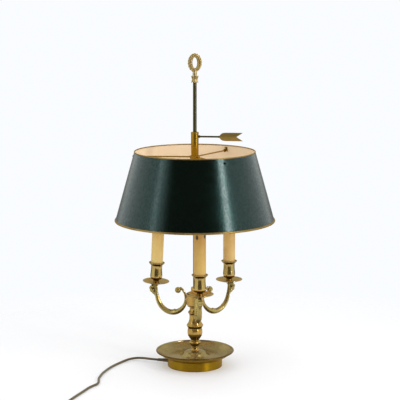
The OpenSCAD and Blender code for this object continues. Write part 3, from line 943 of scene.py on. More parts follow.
@dataclass
class Finishes:
    """Every finish of the lamp, made once."""

    drum: Material = finish(Brass(
        "brass_drum", (0.34, 0.195, 0.004), (0.24, 0.135, 0.002), rubbed=(0.42, 0.27, 0.03), gloss=0.40,
        dull=0.46, amount=0.6, density=1300.0, coat=0.12, edge=(0.8, 0.6, 0.12), brushed=0.85))
    dish: Material = finish(Brass(
        "brass_dish", (0.38, 0.272, 0.092), (0.22, 0.156, 0.048), gloss=0.20, dull=0.31, blotches=22.0,
        marks=0.00001, density=900.0, coat=0.28, edge=(0.82, 0.70, 0.48), brushed=0.5))
    # A darker brass for the outer half of the dish's rolled rim.
    dark_rim: Material = finish(Brass(
        "brass_dark_rim", (0.13, 0.075, 0.015), (0.08, 0.045, 0.008), rubbed=(0.30, 0.2, 0.08), gloss=0.3,
        dull=0.45, blotches=60.0, coat=0.1, edge=(0.5, 0.4, 0.22)))
    # Painted shade: a darker copy of the dish's brass, for its faces that turn downwards.
    beneath: Material = finish(Brass(
        "brass_beneath", (0.33, 0.21, 0.02), (0.24, 0.15, 0.014), rubbed=(0.30, 0.2, 0.08), gloss=0.3,
        dull=0.45, blotches=60.0, coat=0.05, edge=(0.5, 0.36, 0.12)))
    # The under settings below darken faces that turn downwards: painted shade.
    cast: Material = finish(Brass(
        "brass_cast", (0.50, 0.305, 0.066), (0.36, 0.214, 0.042), gloss=0.14, dull=0.26, blotches=60.0,
        amount=0.6, marks=0.000004, dirt=(0.04, 0.021, 0.003), hollow=0.004,
        edge=(0.86, 0.67, 0.4), under=0.85))
    arm: Material = finish(Brass(
        "brass_arm", (0.48, 0.37, 0.125), (0.31, 0.235, 0.072), dirt=(0.06, 0.04, 0.012),
        rubbed=(0.58, 0.46, 0.21), gloss=0.25, dull=0.35, blotches=60.0, amount=0.6, marks=0.000004,
        hollow=0.004, coat=0.08, edge=(0.85, 0.7, 0.42), under=0.5, wear=0.0003))
    wreath: Material = finish(Brass(
        "brass_wreath", (0.56, 0.405, 0.155), (0.44, 0.31, 0.115), dirt=(0.24, 0.16, 0.055), gloss=0.3,
        dull=0.42, blotches=60.0, amount=0.5, marks=0.000004, hollow=0.0012))
    pole: Material = finish(Brass(
        "brass_pole", (0.085, 0.073, 0.026), (0.07, 0.058, 0.02), rubbed=(0.2, 0.17, 0.08), gloss=0.26,
        dull=0.33, blotches=14.0, amount=0.4, marks=0.000003, dents=0.00001, coat=0.08,
        edge=(0.45, 0.42, 0.26), wear=0.0001))
    sleeve: Material = finish(Brass(
        "brass_sleeve", (0.36, 0.197, 0.005), (0.28, 0.15, 0.0035), gloss=0.18, dull=0.28,
        blotches=50.0, amount=0.5, edge=(0.85, 0.62, 0.25)))
    key: Material = finish(Brass(
        "brass_key", (0.46, 0.33, 0.095), (0.34, 0.235, 0.065), rubbed=(0.55, 0.4, 0.16), gloss=0.34,
        dull=0.46, blotches=80.0))
    shank: Material = finish(Brass(
        "brass_shank", (0.105, 0.10, 0.034), (0.07, 0.066, 0.02), rubbed=(0.2, 0.18, 0.07), gloss=0.32,
        dull=0.45, blotches=80.0, metal=0.95, coat=0.0, edge=(0.25, 0.24, 0.12), wear=0.0001))
    gilt: Material = finish(Brass(
        "gilt_edge", (0.36, 0.235, 0.07), (0.22, 0.14, 0.04), gloss=0.25, dull=0.4, blotches=30.0,
        hollow=0.003, coat=0.1, edge=(0.8, 0.6, 0.3)))
    dark: Material = finish(Brass(
        "brass_dark", (0.07, 0.05, 0.022), (0.035, 0.025, 0.011), rubbed=(0.2, 0.14, 0.06), gloss=0.35,
        dull=0.5, blotches=90.0, coat=0.1, edge=(0.4, 0.3, 0.18)))
    green: Material = finish(Lacquer(
        "lacquer_green", (0.0012, 0.0024, 0.0009), (0.0018, 0.0034, 0.0014), gloss=0.17,
        coat=0.66, tint=(0.22, 1.0, 0.92), depth=1.37, peel=0.0003))
    cream: Material = finish(Lacquer(
        "lacquer_cream", (0.99, 0.81, 0.57), (0.96, 0.76, 0.51), gloss=0.5, coat=0.0))
    black: Material = finish(PlainMetal(
        "blackened_steel", (0.008, 0.008, 0.007), (0.004, 0.004, 0.004), gloss=0.75, metallic=0.0,
        depth=1.15))
    steel: Material = finish(PlainMetal(
        "plated_steel", (0.56, 0.53, 0.45), (0.34, 0.31, 0.25)))
    iron: Material = finish(PlainMetal(
        "cast_iron", (0.07, 0.07, 0.068), (0.035, 0.03, 0.028), gloss=0.6, metallic=0.6,
        pits=0.0004))
    card: Material = finish(Felt(
        "pressed_board", (0.20, 0.16, 0.11), (0.30, 0.25, 0.18)))
    felt: Material = finish(Felt(
        "green_felt", (0.02, 0.06, 0.035), (0.05, 0.13, 0.08)))
    resin: Material = finish(Moulded(
        "black_resin", (0.02, 0.018, 0.016), (0.045, 0.04, 0.035)))
    brown: Material = finish(Moulded(
        "brown_resin", (0.05, 0.026, 0.012), (0.085, 0.05, 0.026), gloss=0.28))
    sheath: Material = finish(Moulded(
        "cord_sheath", (0.088, 0.063, 0.022), (0.13, 0.095, 0.037), gloss=0.3, grain=1100.0))
    glass: Material = finish(SatinGlass("satin_glass"))


# ---------------------------------------------------------------- geometry nodes


class Repeat:
    """Geometry Nodes trees that repeat a small form, and the step that makes them plain meshes."""

    def __init__(self) -> None:
        """Builds the trees."""
        self.ring = self._ring_tree()
        self.wreath = self._wreath_tree()

    @staticmethod
    def _start(name: str, inputs: dict[str, tuple[str, float]]) -> tuple[Graph, Sockets]:
        """Starts a tree that takes a geometry, named numbers and a material.

        Args:
            name: The tree's name.
            inputs: Each number's socket type and usual value.

        Returns:
            The graph and its inputs.
        """
        tree = bpy.data.node_groups.new(name, "GeometryNodeTree")
        tree.interface.new_socket("Geometry", in_out="INPUT", socket_type="NodeSocketGeometry")
        for key, (kind, value) in inputs.items():
            made = tree.interface.new_socket(key, in_out="INPUT", socket_type=kind)
            made.default_value = value
        tree.interface.new_socket("Material", in_out="INPUT", socket_type="NodeSocketMaterial")
        tree.interface.new_socket("Geometry", in_out="OUTPUT", socket_type="NodeSocketGeometry")
        graph = Graph(tree)
        return graph, graph.add("NodeGroupInput").outputs

    @staticmethod
    def _end(g: Graph, given: Sockets, count: Socket, spots: Socket, turns: Socket) -> Tree:
        """Puts the form on points, and ends the tree in Realize Instances and Set Material.

        Args:
            g: The graph.
            given: Its inputs.
            count: How many points there are.
            spots: Where each point is.
            turns: How the form is turned on each point.

        Returns:
            The tree.
        """
        points = g.put(g.add("GeometryNodePoints"), Count=count, Position=spots)
        copies = g.put(g.add("GeometryNodeInstanceOnPoints"), Points=points.outputs[0],
                       Instance=given["Geometry"], Rotation=turns)
        real = g.put(g.add("GeometryNodeRealizeInstances"), Geometry=copies.outputs[0])
        paint = g.put(g.add("GeometryNodeSetMaterial"), Geometry=real.outputs[0], Material=given["Material"])
        g.add("NodeGroupOutput", paint.outputs[0])
        return g.tree

    def _ring_tree(self) -> Tree:
        """Copies of a form round the Z axis, each turned to face outwards.

        Returns:
            The tree.
        """
        g, given = self._start("copies_round_axis", {
            "Count": ("NodeSocketInt", 3), "Radius": ("NodeSocketFloat", 0.0),
            "Height": ("NodeSocketFloat", 0.0), "Turn": ("NodeSocketFloat", 0.0)})
        index = g.add("GeometryNodeInputIndex").outputs[0]
        step = g.maths("DIVIDE", 2 * math.pi, given["Count"])
        angle = g.plus(g.times(index, step), given["Turn"])
        spots = g.joined(g.times(g.maths("COSINE", angle), given["Radius"]),
                         g.times(g.maths("SINE", angle), given["Radius"]), given["Height"])
        turns = g.add("FunctionNodeEulerToRotation", g.joined(None, None, angle)).outputs[0]
        return self._end(g, given, given["Count"], spots, turns)

    def _wreath_tree(self) -> Tree:
        """Leaves along an upright oval in the XZ plane, in rows round its tube.

        Returns:
            The tree.
        """
        g, given = self._start("leaves_along_oval", {
            "Stations": ("NodeSocketInt", 18), "Rows": ("NodeSocketInt", 5),
            "Half Width": ("NodeSocketFloat", 0.01), "Half Height": ("NodeSocketFloat", 0.01),
            "Tube": ("NodeSocketFloat", 0.003), "Swell": ("NodeSocketFloat", 0.0),
            "Middle": ("NodeSocketFloat", 0.0)})
        wide, high = given["Half Width"], given["Half Height"]
        index = g.add("GeometryNodeInputIndex").outputs[0]
        station = g.maths("FLOOR", g.maths("DIVIDE", g.plus(index, 0.5), given["Rows"]))
        row = g.less(index, g.times(station, given["Rows"]))
        half = g.times(g.maths("MODULO", row, 2.0), 0.5)
        along = g.maths("DIVIDE", g.times(g.plus(station, half), 2 * math.pi), given["Stations"])
        sine, cosine = g.maths("SINE", along), g.maths("COSINE", along)
        middle = g.joined(g.times(sine, wide), None, g.less(given["Middle"], g.times(cosine, high)))
        heading = g.vectors("NORMALIZE", g.joined(g.times(cosine, wide), None, g.times(sine, high)))
        around = g.maths("DIVIDE", g.times(row, 2 * math.pi), given["Rows"])
        swing = g.scaled(g.vectors("CROSS_PRODUCT", heading, (0, 1, 0)), g.maths("COSINE", around))
        normal = g.vectors("ADD", swing, g.joined(None, g.maths("SINE", around)))
        flatter = g.times(g.maths("COSINE", g.times(along, 2.0)), given["Swell"])
        lift = g.scaled(normal, g.times(given["Tube"], g.less(1.0, flatter)))
        up = g.put(g.add("FunctionNodeAlignRotationToVector", axis="Z"), Vector=normal)
        ahead = g.put(g.add("FunctionNodeAlignRotationToVector", axis="X", pivot_axis="Z"),
                      Rotation=up.outputs[0], Vector=heading)
        return self._end(g, given, g.times(given["Stations"], given["Rows"]),
                         g.vectors("ADD", middle, lift), ahead.outputs[0])

    @staticmethod
    def run(piece: Piece, tree: Tree, **values: object) -> Piece:
        """Runs a tree on a small form and keeps the plain mesh that it makes.

        Args:
            piece: The form, whose mesh is replaced.
            tree: The tree.
            **values: Its inputs by name, with an underscore for a space.

        Returns:
            The same object with the new mesh.
        """
        step = piece.modifiers.new("repeat", "NODES")
        step.node_group = tree
        for item in tree.interface.items_tree:
            key = item.name.replace(" ", "_")
            if item.in_out == "INPUT" and key in values:
                step[item.identifier] = values[key]
        return applied(piece, step)


# ---------------------------------------------------------------- studio


@dataclass
class Studio:
    """The camera, the pale table and the soft lights."""

    eye: Point3 = (0.01056, -3.001, 0.83525)
    pitch: float = 80.818
    lens: float = 132.93
    aimed_at: Point3 = (0, 0, 0.3)
    table_r: float = 0.95
    table_tone: float = 0.60
    table_warmth: Colour = (1.1, 1.0, 0.82)
    table_glow: float = 0.29
    backdrop: Colour = (0.955, 0.975, 1.0)
    soft: Colour = (0.78, 0.78, 0.79)
    above: Colour = (1.32, 1.32, 1.34)
    dim: Colour = (0.045, 0.045, 0.04)
    side_wall: Colour = (0.88, 0.95, 0.94)
    back_wall: Colour = (0.60, 0.62, 0.60)
    low_wall: Colour = (0.22, 0.23, 0.22)
    ceiling: Colour = (0.56, 0.56, 0.57)

    def camera(self) -> None:
        """Stands the camera where it sees the lamp from a little above."""
        data = bpy.data.cameras.new("camera")
        data.lens, data.sensor_width = self.lens, 36.0
        data.clip_start, data.clip_end = 0.05, 200.0
        eye = bpy.data.objects.new("camera", data)
        eye.location = self.eye
        eye.rotation_euler = (math.radians(self.pitch), 0, 0)
        bpy.context.scene.collection.objects.link(eye)
        bpy.context.scene.camera = eye

    def table(self) -> None:
        """Lays a round pale table that melts into the backdrop, and keeps the lamp's shadow; a warm ring
        round the foot is painted bounce light from the brass.
        """
        mesh = bmesh.new()
        bmesh.ops.create_circle(mesh, cap_ends=True, segments=96, radius=self.table_r * 1000)
        plane = new_piece("table", mesh, smooth=False)
        made, g, surface, where = material("pale_table")
        path = g.add("ShaderNodeLightPath").outputs
        seen = g.maths("MAXIMUM", path["Is Camera Ray"],
                       g.maths("MAXIMUM", path["Is Glossy Ray"], path["Is Transmission Ray"]))
        away = g.add("ShaderNodeVectorMath", where, operation="LENGTH").outputs["Value"]
        tone = self.table_tone
        # Painted bounce light: the table warms towards the foot, as if the brass threw light on it.
        bounce_lit_tone = tuple(tone * part for part in self.table_warmth)
        near = g.spread(away, 0.34, 0.80, 1.0, 0.0)
        wider = g.spread(away, 0.60, 0.95, 1.0, 0.0)
        mirrored = g.mixed(path["Is Glossy Ray"], (1, 1, 1), wider)
        g.put(surface, Base_Color=g.mixed(g.spread(away, 0.056, 0.085, 1.0, 0.0), (tone, tone, tone), bounce_lit_tone),
              Emission_Color=(*self.backdrop, 1), Emission_Strength=g.times(seen, self.table_glow),
              Roughness=0.5, Specular_IOR_Level=0.2, Alpha=g.mixed(path["Is Camera Ray"], mirrored, near))
        coat(plane, made)

    def lamp(self, name: str, place: Point3, size: Point2, power: float, tint: Colour = (1, 1, 1),
             mirrored: bool = True) -> None:
        """Hangs one soft light that points at the lamp.

        Args:
            name: The light's name.
            place: Where it hangs, in metres.
            size: Its width and height.
            power: Its power in watts.
            tint: Its colour.
            mirrored: Whether polished surfaces show it.
        """
        data = bpy.data.lights.new(name, "AREA")
        data.shape, data.size, data.size_y, data.energy = "RECTANGLE", *size, power
        data.color = tint
        light = bpy.data.objects.new(name, data)
        light.location = place
        light.visible_glossy = mirrored
        aim = Vector(self.aimed_at) - Vector(place)
        light.rotation_euler = aim.to_track_quat("-Z", "Y").to_euler()
        bpy.context.scene.collection.objects.link(light)

    def world(self) -> None:
        """Makes the surroundings: pale walls behind and beside the lamp, and a dim room in front."""
        world = bpy.data.worlds.new("room")
        bpy.context.scene.world = world
        world.use_nodes = True
        g = Graph(world.node_tree)
        x, y, z = g.parts(g.add("ShaderNodeTexCoord").outputs["Generated"])
        path = g.add("ShaderNodeLightPath").outputs
        turn = g.maths("ABSOLUTE", g.maths("ARCTAN2", x, g.times(y, -1.0)))
        start = g.spread(z, -0.1, 0.2, math.radians(27), math.radians(42))
        wall = g.spread(g.less(turn, start), 0.0, math.radians(15))
        beneath = g.times(g.spread(turn, math.radians(100), math.radians(125)), g.spread(z, 0.02, -0.08))
        behind = g.spread(turn, math.radians(138), math.radians(164))
        walls = g.mixed(beneath, g.mixed(behind, self.side_wall, self.back_wall), self.low_wall)
        mirrored = g.mixed(g.spread(z, 0.62, 0.9), g.mixed(wall, self.dim, walls), self.ceiling)
        sky = g.mixed(g.spread(z, 0.2, 0.95), self.soft, self.above)
        room = g.mixed(path["Is Glossy Ray"], sky, mirrored)
        seen = g.maths("MAXIMUM", path["Is Camera Ray"], path["Is Transmission Ray"])
        g.put(world.node_tree.nodes["Background"], Color=g.mixed(seen, room, self.backdrop), Strength=1.0)

    def build(self) -> None:
        """Sets the whole studio up."""
        self.camera()
        self.table()
        self.world()
        self.lamp("key_light", (1.75, -1.50, 1.15), (0.36, 2.1), 23, (1.0, 0.955, 0.945))
        self.lamp("fill_light", (-2.04, -1.06, 1.05), (0.36, 1.6), 2.4)
        self.lamp("overhead", (-0.55, 0.1, 1.9), (1.0, 1.0), 2.0, mirrored=False)
        bpy.context.scene.view_settings.view_transform = "Standard"
        log.info("studio set up")


# ---------------------------------------------------------------- cord


@dataclass
class Cord:
    """The flexible cord with its switch, its coil and its plug."""

    radius: float = 2.5
    route: tuple[Point3, ...] = (
        (-80, 17, 7), (-90, 20.5, 7), (-100, 25.5, 6.8), (-110, 31.5, 6.3), (-120.5, 35.5, 5.5),
        (-131, 35, 4.6), (-141, 29.5, 3.8), (-149.5, 20, 3), (-157, 8.5, 2.6), (-164, -4, 2.5),
        (-171, -18.5, 2.5), (-178, -36, 2.5), (-184, -55, 2.5), (-189, -74, 2.5), (-192, -93, 2.5),
        (-194, -112, 2.5), (-193, -128, 2.5), (-193, -141, 2.5), (-196, -153, 2.5), (-202, -163, 2.5),
        (-208, -174, 2.5), (-213, -187, 2.5), (-219, -204, 2.5), (-226, -223, 2.5), (-233, -242, 2.5),
        (-239, -260, 2.5), (-243.5, -274, 2.5), (-246, -287, 2.5), (-244.5, -299, 2.5), (-238, -309.5, 2.5),
        (-227.5, -316.5, 3.5), (-214, -319, 4.5))
    link: tuple[Point3, ...] = ((-154, -319, 4.5), (-146, -319, 3.5), (-138, -319, 2.6), (-128, -319, 2.5))
    tail: tuple[Point3, ...] = ((-128, -386, 7.5), (-136, -386, 7.2), (-144, -386, 6.9), (-152, -386, 6.9))
    coil_at: Point2 = (-112, -352.5)
    coil_inner: float = 23.5
    pitch: float = 5.0
    turns: float = 6.5
    # Each turn's place from the inside and its layer, and the share of a turn that crosses to the next.
    lanes: tuple[tuple[int, int], ...] = ((2, 0), (1, 0), (0, 0), (0, 1), (1, 1), (2, 1), (2, 1))
    crossing: float = 0.2

    def coil(self) -> list[Point3]:
        """The turns of the coil: inwards along the table, then outwards on top of them.

        Returns:
            Its points in mm.
        """
        points = []
        steps = 48
        last = len(self.lanes) - 1
        for k in range(int(self.turns * steps) + 1):
            turn, share = divmod(k / steps, 1)
            here, layer = self.lanes[int(turn)]
            ahead, above = self.lanes[min(int(turn) + 1, last)]
            move = min(max((share - (1 - self.crossing)) / self.crossing, 0), 1)
            move = move * move * (3 - 2 * move)
            radius = self.coil_inner + self.pitch * (here + (ahead - here) * move)
            height = self.radius + self.pitch * (layer + (above - layer) * move)
            angle = math.pi / 2 - 2 * math.pi * (turn + share)
            points.append((self.coil_at[0] + radius * math.cos(angle),
                           self.coil_at[1] + radius * math.sin(angle), height))
        return points

    def centreline(self) -> list[Point3]:
        """The cord's whole middle line.

        Returns:
            Its points in mm, from the bushing to the plug.
        """
        points = [*curve(self.route, 6), *curve(self.link, 6), *self.coil(), *curve(self.tail, 6)]
        return [(x, y, max(z, self.radius + 0.02)) for x, y, z in points]

    def build(self, finishes: Finishes) -> None:
        """Makes the cord, and dresses what is on it.

        Args:
            finishes: The lamp's finishes.
        """
        points = self.centreline()
        data = bpy.data.curves.new("cord", "CURVE")
        data.dimensions, data.bevel_depth, data.bevel_resolution = "3D", self.radius * MM, 4
        data.use_fill_caps = True
        line = data.splines.new("POLY")
        line.points.add(len(points) - 1)
        for spot, point in zip(line.points, points):
            spot.co = (*(c * MM for c in point), 1)
        line.use_smooth = True
        cord = bpy.data.objects.new("cord", data)
        bpy.context.scene.collection.objects.link(cord)
        seat(cord, Body.BASE, finishes.sheath,
             ("cord_run", "cord_link", "cord_coil", "cord_tail"))
        dress("cord_bushing", finishes.sheath, 0.3)
        for node in ("switch_base", "switch_cover", "plug_body"):
            dress(node, finishes.brown, 0.8)
        dress("switch_rocker", finishes.resin, 0.3)
        dress("plug_pins", finishes.steel, 0.4)


# ---------------------------------------------------------------- foot


@dataclass
class Foot:
    """The drum foot, the dish on it and what is hidden inside."""

    drum_r: float = 57.0
    drum_h: float = 18.7
    dish_r: float = 81.3
    sheet: float = 1.3
    roll: float = 1.6
    stem_z: float = STEM_Z

    def drum(self) -> list[Point2]:
        """The drum's outline."""
        r, h, t = self.drum_r, self.drum_h, self.sheet
        return [(r - t, 0), (r - 0.5, 0), (r, 0.5), (r, h), (r - 8, h), (r - 8, h - 1.2), (r - t, h - 1.2)]

    def dish(self) -> list[Point2]:
        """The dish's outline, from the hump under the stem to the rolled rim.

        Returns:
            Its closed outline in mm.
        """
        low, z = self.drum_h + self.sheet, self.stem_z
        hump = curve([(14, z), (18.5, z - 0.9), (22.5, z - 3.6), (26.5, low + 3.2), (31, low + 0.5),
                      (35, low)], 8)
        wall = curve([(54, low), (60, low + 0.9), (66, low + 3.1), (72, low + 6.7),
                      (self.dish_r - 3.4, low + 11.2)], 8)
        return rolled_sheet([(TIE_R, z), *hump, (44.5, low), *wall], self.sheet,
                            (self.dish_r - self.roll, low + 12.3), self.roll)

    def build(self, finishes: Finishes) -> None:
        """Makes and dresses the foot.

        Args:
            finishes: The lamp's finishes.
        """
        seat(turned_piece("drum", self.drum(), fillet=0.5, segments=160), Body.BASE, finishes.drum,
             ["foot_drum"])
        dish = turned_piece("dish", self.dish(), fillet=0.3, segments=160)
        coat(dish, finishes.dish, finishes.dark_rim, finishes.beneath)
        # The outer half of the rolled rim takes the dark rim brass; faces that turn downwards take the shaded
        # brass, painted shade under the dish.
        for face in dish.data.polygons:
            out = math.hypot(face.center.x, face.center.y) > (self.dish_r - self.roll + 0.2) * MM
            face.material_index = 1 if out else 2 if face.normal.z < -0.1 else 0
        seat(dish, Body.BASE, finishes.dish, ["dish_tray"])
        dress("ballast", finishes.iron)
        dress("base_cover", finishes.card)
        dress("felt_pad", finishes.felt)
        for node in ("tie_tube", "tie_nuts"):
            dress(node, finishes.steel)


# ---------------------------------------------------------------- stem


@dataclass
class Stem:
    """The turned pieces on the tie tube, the hub that carries the arms, and the pole."""

    z: float = STEM_Z
    hub_r: float = HUB_R
    hub_low: float = 128.0
    hub_top: float = 150.0
    collar_top: float = 167.0
    pole_foot: float = 153.0
    pole_top: float = POLE_TOP

    def outlines(self) -> dict[str, list[Point2]]:
        """The outlines of the turned pieces, by node.

        Returns:
            Each node's closed outline in mm.
        """
        z = self.z
        foot = [(10.4, z), (10.4, z + 0.9), *curve([(9.6, z + 1.4), (7.9, z + 3.2), (7.1, z + 5.2)], 6),
                *curve([(7.6, z + 5.6), (8.5, z + 6.5), (7.6, z + 7.4)], 6), (6.9, z + 7.9), (6.9, z + 9)]
        k = z + 9
        knop = [(7.2, k), *curve([(8.2, k + 1.6), (10, k + 4.4), (11.7, k + 7), (12.1, k + 8.6),
                                  (11.2, k + 10.4), (9.2, k + 11.7)], 6), (8.2, k + 12.4), (8.2, k + 13)]
        v = z + 22
        vase = [(8.2, v), (8.5, v + 1), *curve([(8.9, v + 1.6), (11, v + 4.6), (13.9, v + 9.2)], 6),
                *curve([(14.4, v + 10), (15.3, v + 13.4), (15.7, v + 17.6), (15.4, v + 21.8),
                        (14.9, v + 24.4)], 6), (14.6, v + 25), (14.6, v + 26)]
        c = z + 48
        column = [(14.6, c), (15.1, c + 1.2), (17.4, c + 5.6), (17.4, c + 6.4),
                  *curve([(15.9, c + 8.6), (13.6, c + 12.4), (12.2, c + 16.6), (11.6, c + 21.6),
                          (11.6, c + 26), (12.1, c + 29.4)], 6),
                  *curve([(12.9, c + 31), (14.3, c + 33.2), (13.6, c + 35.2), (11.9, c + 36.8)], 6),
                  *curve([(11.2, c + 38.4), (10.9, c + 41.6), (11.3, c + 44)], 6),
                  (13.4, c + 45.6), (15.4, c + 46.6), (15.4, c + 48)]
        h, r = self.hub_top, self.hub_r
        hub = [(TIE_R, self.hub_low), (15.6, self.hub_low), (r, self.hub_low + 1.8), (r, h - 0.6),
               (r - 0.6, h), (r - 3.5, h), (r - 3.5, self.hub_low + 4), (TIE_R, self.hub_low + 4)]
        cap = [(POLE_R, self.pole_foot), (5.2, h + 3), (8.2, h), (r - 1, h),
               *curve([(r - 1.6, h + 1.2), (13.4, h + 4.4), (10, h + 7), (7.8, h + 9.4)], 6),
               (8.2, self.collar_top - 6.6), (8.2, self.collar_top - 1), (7.2, self.collar_top),
               (POLE_R, self.collar_top)]
        return {"stem_foot": turned(foot, TIE_R), "stem_knop": turned(knop, TIE_R),
                "stem_vase": turned(vase, TIE_R), "stem_column": turned(column, TIE_R),
                "arm_hub": hub, "hub_cap": cap}

    def build(self, finishes: Finishes) -> None:
        """Makes and dresses the stem and the pole.

        Args:
            finishes: The lamp's finishes.
        """
        for node, outline in self.outlines().items():
            seat(turned_piece(f"turned_{node}", outline, fillet=0.35), Body.BASE, finishes.cast,
                 [node])
        pole = [(0, self.pole_foot), (POLE_R, self.pole_foot), (POLE_R, 300), (POLE_R, 450),
                (POLE_R, self.pole_top), (0, self.pole_top)]
        seat(turned_piece("long_pole", pole, segments=48), Body.BASE, finishes.pole, ["pole"])
        dress("arm_screws", finishes.steel)


@dataclass
class Finial:
    """The leafy collar and the oval wreath at the top of the pole."""

    z: float = 593.0
    bore_top: float = POLE_TOP + 0.2
    middle: float = 632.2
    half_w: float = 9.4
    half_h: float = 14.8
    tube: float = 2.9
    swell: float = 0.16

    def leaf(self, name: str, length: float, width: float, thick: float, rise: float) -> Piece:
        """A small pointed leaf that lies along +X, with its back on the XY plane.

        Args:
            name: The piece's name.
            length: Its length in mm.
            width: Its width.
            thick: Its thickness at the rib.
            rise: How far its tip lifts.

        Returns:
            The leaf.
        """
        mesh = bmesh.new()
        rows = []
        for i in range(9):
            t = i / 8
            half = width / 2 * math.sin(math.pi * min(t * 0.92 + 0.08, 1)) ** 0.8
            lift = rise * t * t
            row = []
            for k, a in enumerate(round_about(8)):
                rib = 1.25 if k == 2 else 1.0
                row.append(mesh.verts.new(((t - 0.35) * length, half * math.cos(a),
                                           lift + max(math.sin(a), -0.6) * thick * rib
                                           * (0.35 + 0.65 * math.sin(math.pi * t) ** 0.6))))
            rows.append(row)
        for low, high in zip(rows, rows[1:]):
            for k in range(8):
                mesh.faces.new((low[k], low[(k + 1) % 8], high[(k + 1) % 8], high[k]))
        mesh.faces.new(rows[0])
        mesh.faces.new(rows[-1])
        return new_piece(name, mesh, crease=80)

    def build(self, finishes: Finishes, repeat: Repeat) -> None:
        """Makes and dresses the finial.

        Args:
            finishes: The lamp's finishes.
            repeat: The trees that repeat a form.
        """
        z = self.z
        outside = [(4.6, z), *curve([(6.1, z + 1.2), (5.6, z + 3.2), (5.0, z + 6), (5.0, z + 9),
                                     (5.6, z + 11.4)], 5), (5.6, z + 12.4), (4.6, z + 13.4)]
        collar = [*turned(outside, POLE_R)[:-1], (0, z + 13.4), (0, self.bore_top), (POLE_R, self.bore_top)]
        seat(turned_piece("collar_core", collar, segments=64), Body.BASE, finishes.wreath,
             ["finial_collar"])
        petals = self.leaf("collar_leaves", 9.5, 4.6, 1.0, 2.4)
        petals.data.transform(ALONG_X)
        repeat.run(petals, repeat.ring, Count=6, Radius=5.2 * MM, Height=(z + 4.4) * MM,
                   Turn=math.radians(30), Material=finishes.wreath)
        seat(petals, Body.BASE, finishes.wreath)
        tips = self.leaf("collar_tips", 7.5, 4.0, 1.0, 2.2)
        tips.data.transform(Matrix.Rotation(-math.pi / 2, 4, "Y") @ Matrix.Scale(-1, 4, (0, 0, 1)))
        tips.data.flip_normals()
        repeat.run(tips, repeat.ring, Count=6, Radius=5.0 * MM, Height=(z + 8.2) * MM,
                   Turn=0.0, Material=finishes.wreath)
        seat(tips, Body.BASE, finishes.wreath)
        mesh = bmesh.new()
        path = [(self.half_w * math.sin(a), 0, self.middle - self.half_h * math.cos(a))
                for a in round_about(72)]

        def oval(share: float, angle: float) -> Point2:
            """The core's section, thicker at the wreath's sides."""
            deep = self.tube * (1 - self.swell * math.cos(4 * math.pi * share))
            return self.tube * math.cos(angle), deep * math.sin(angle)

        sweep(mesh, path, oval, (0, 1, 0), 20, closed=True)
        foot = self.middle - self.half_h
        lathe(mesh, [(0, z + 13.3), (4.6, z + 13.4), (4.2, z + 15), (4.5, z + 16.4), (3.9, foot - 1.5),
                     (3.4, foot + 1), (0, foot + 1)], 40)
        seat(new_piece("wreath_core", mesh), Body.BASE, finishes.wreath, ["finial_ring"])
        leaves = self.leaf("wreath_leaves", 6.4, 3.6, 1.25, 1.0)
        repeat.run(leaves, repeat.wreath, Stations=18, Rows=6, Half_Width=self.half_w * MM,
                   Half_Height=self.half_h * MM, Tube=(self.tube - 0.3) * MM, Swell=self.swell,
                   Middle=self.middle * MM, Material=finishes.wreath)
        seat(leaves, Body.BASE, finishes.wreath)


# ---------------------------------------------------------------- arms and candles


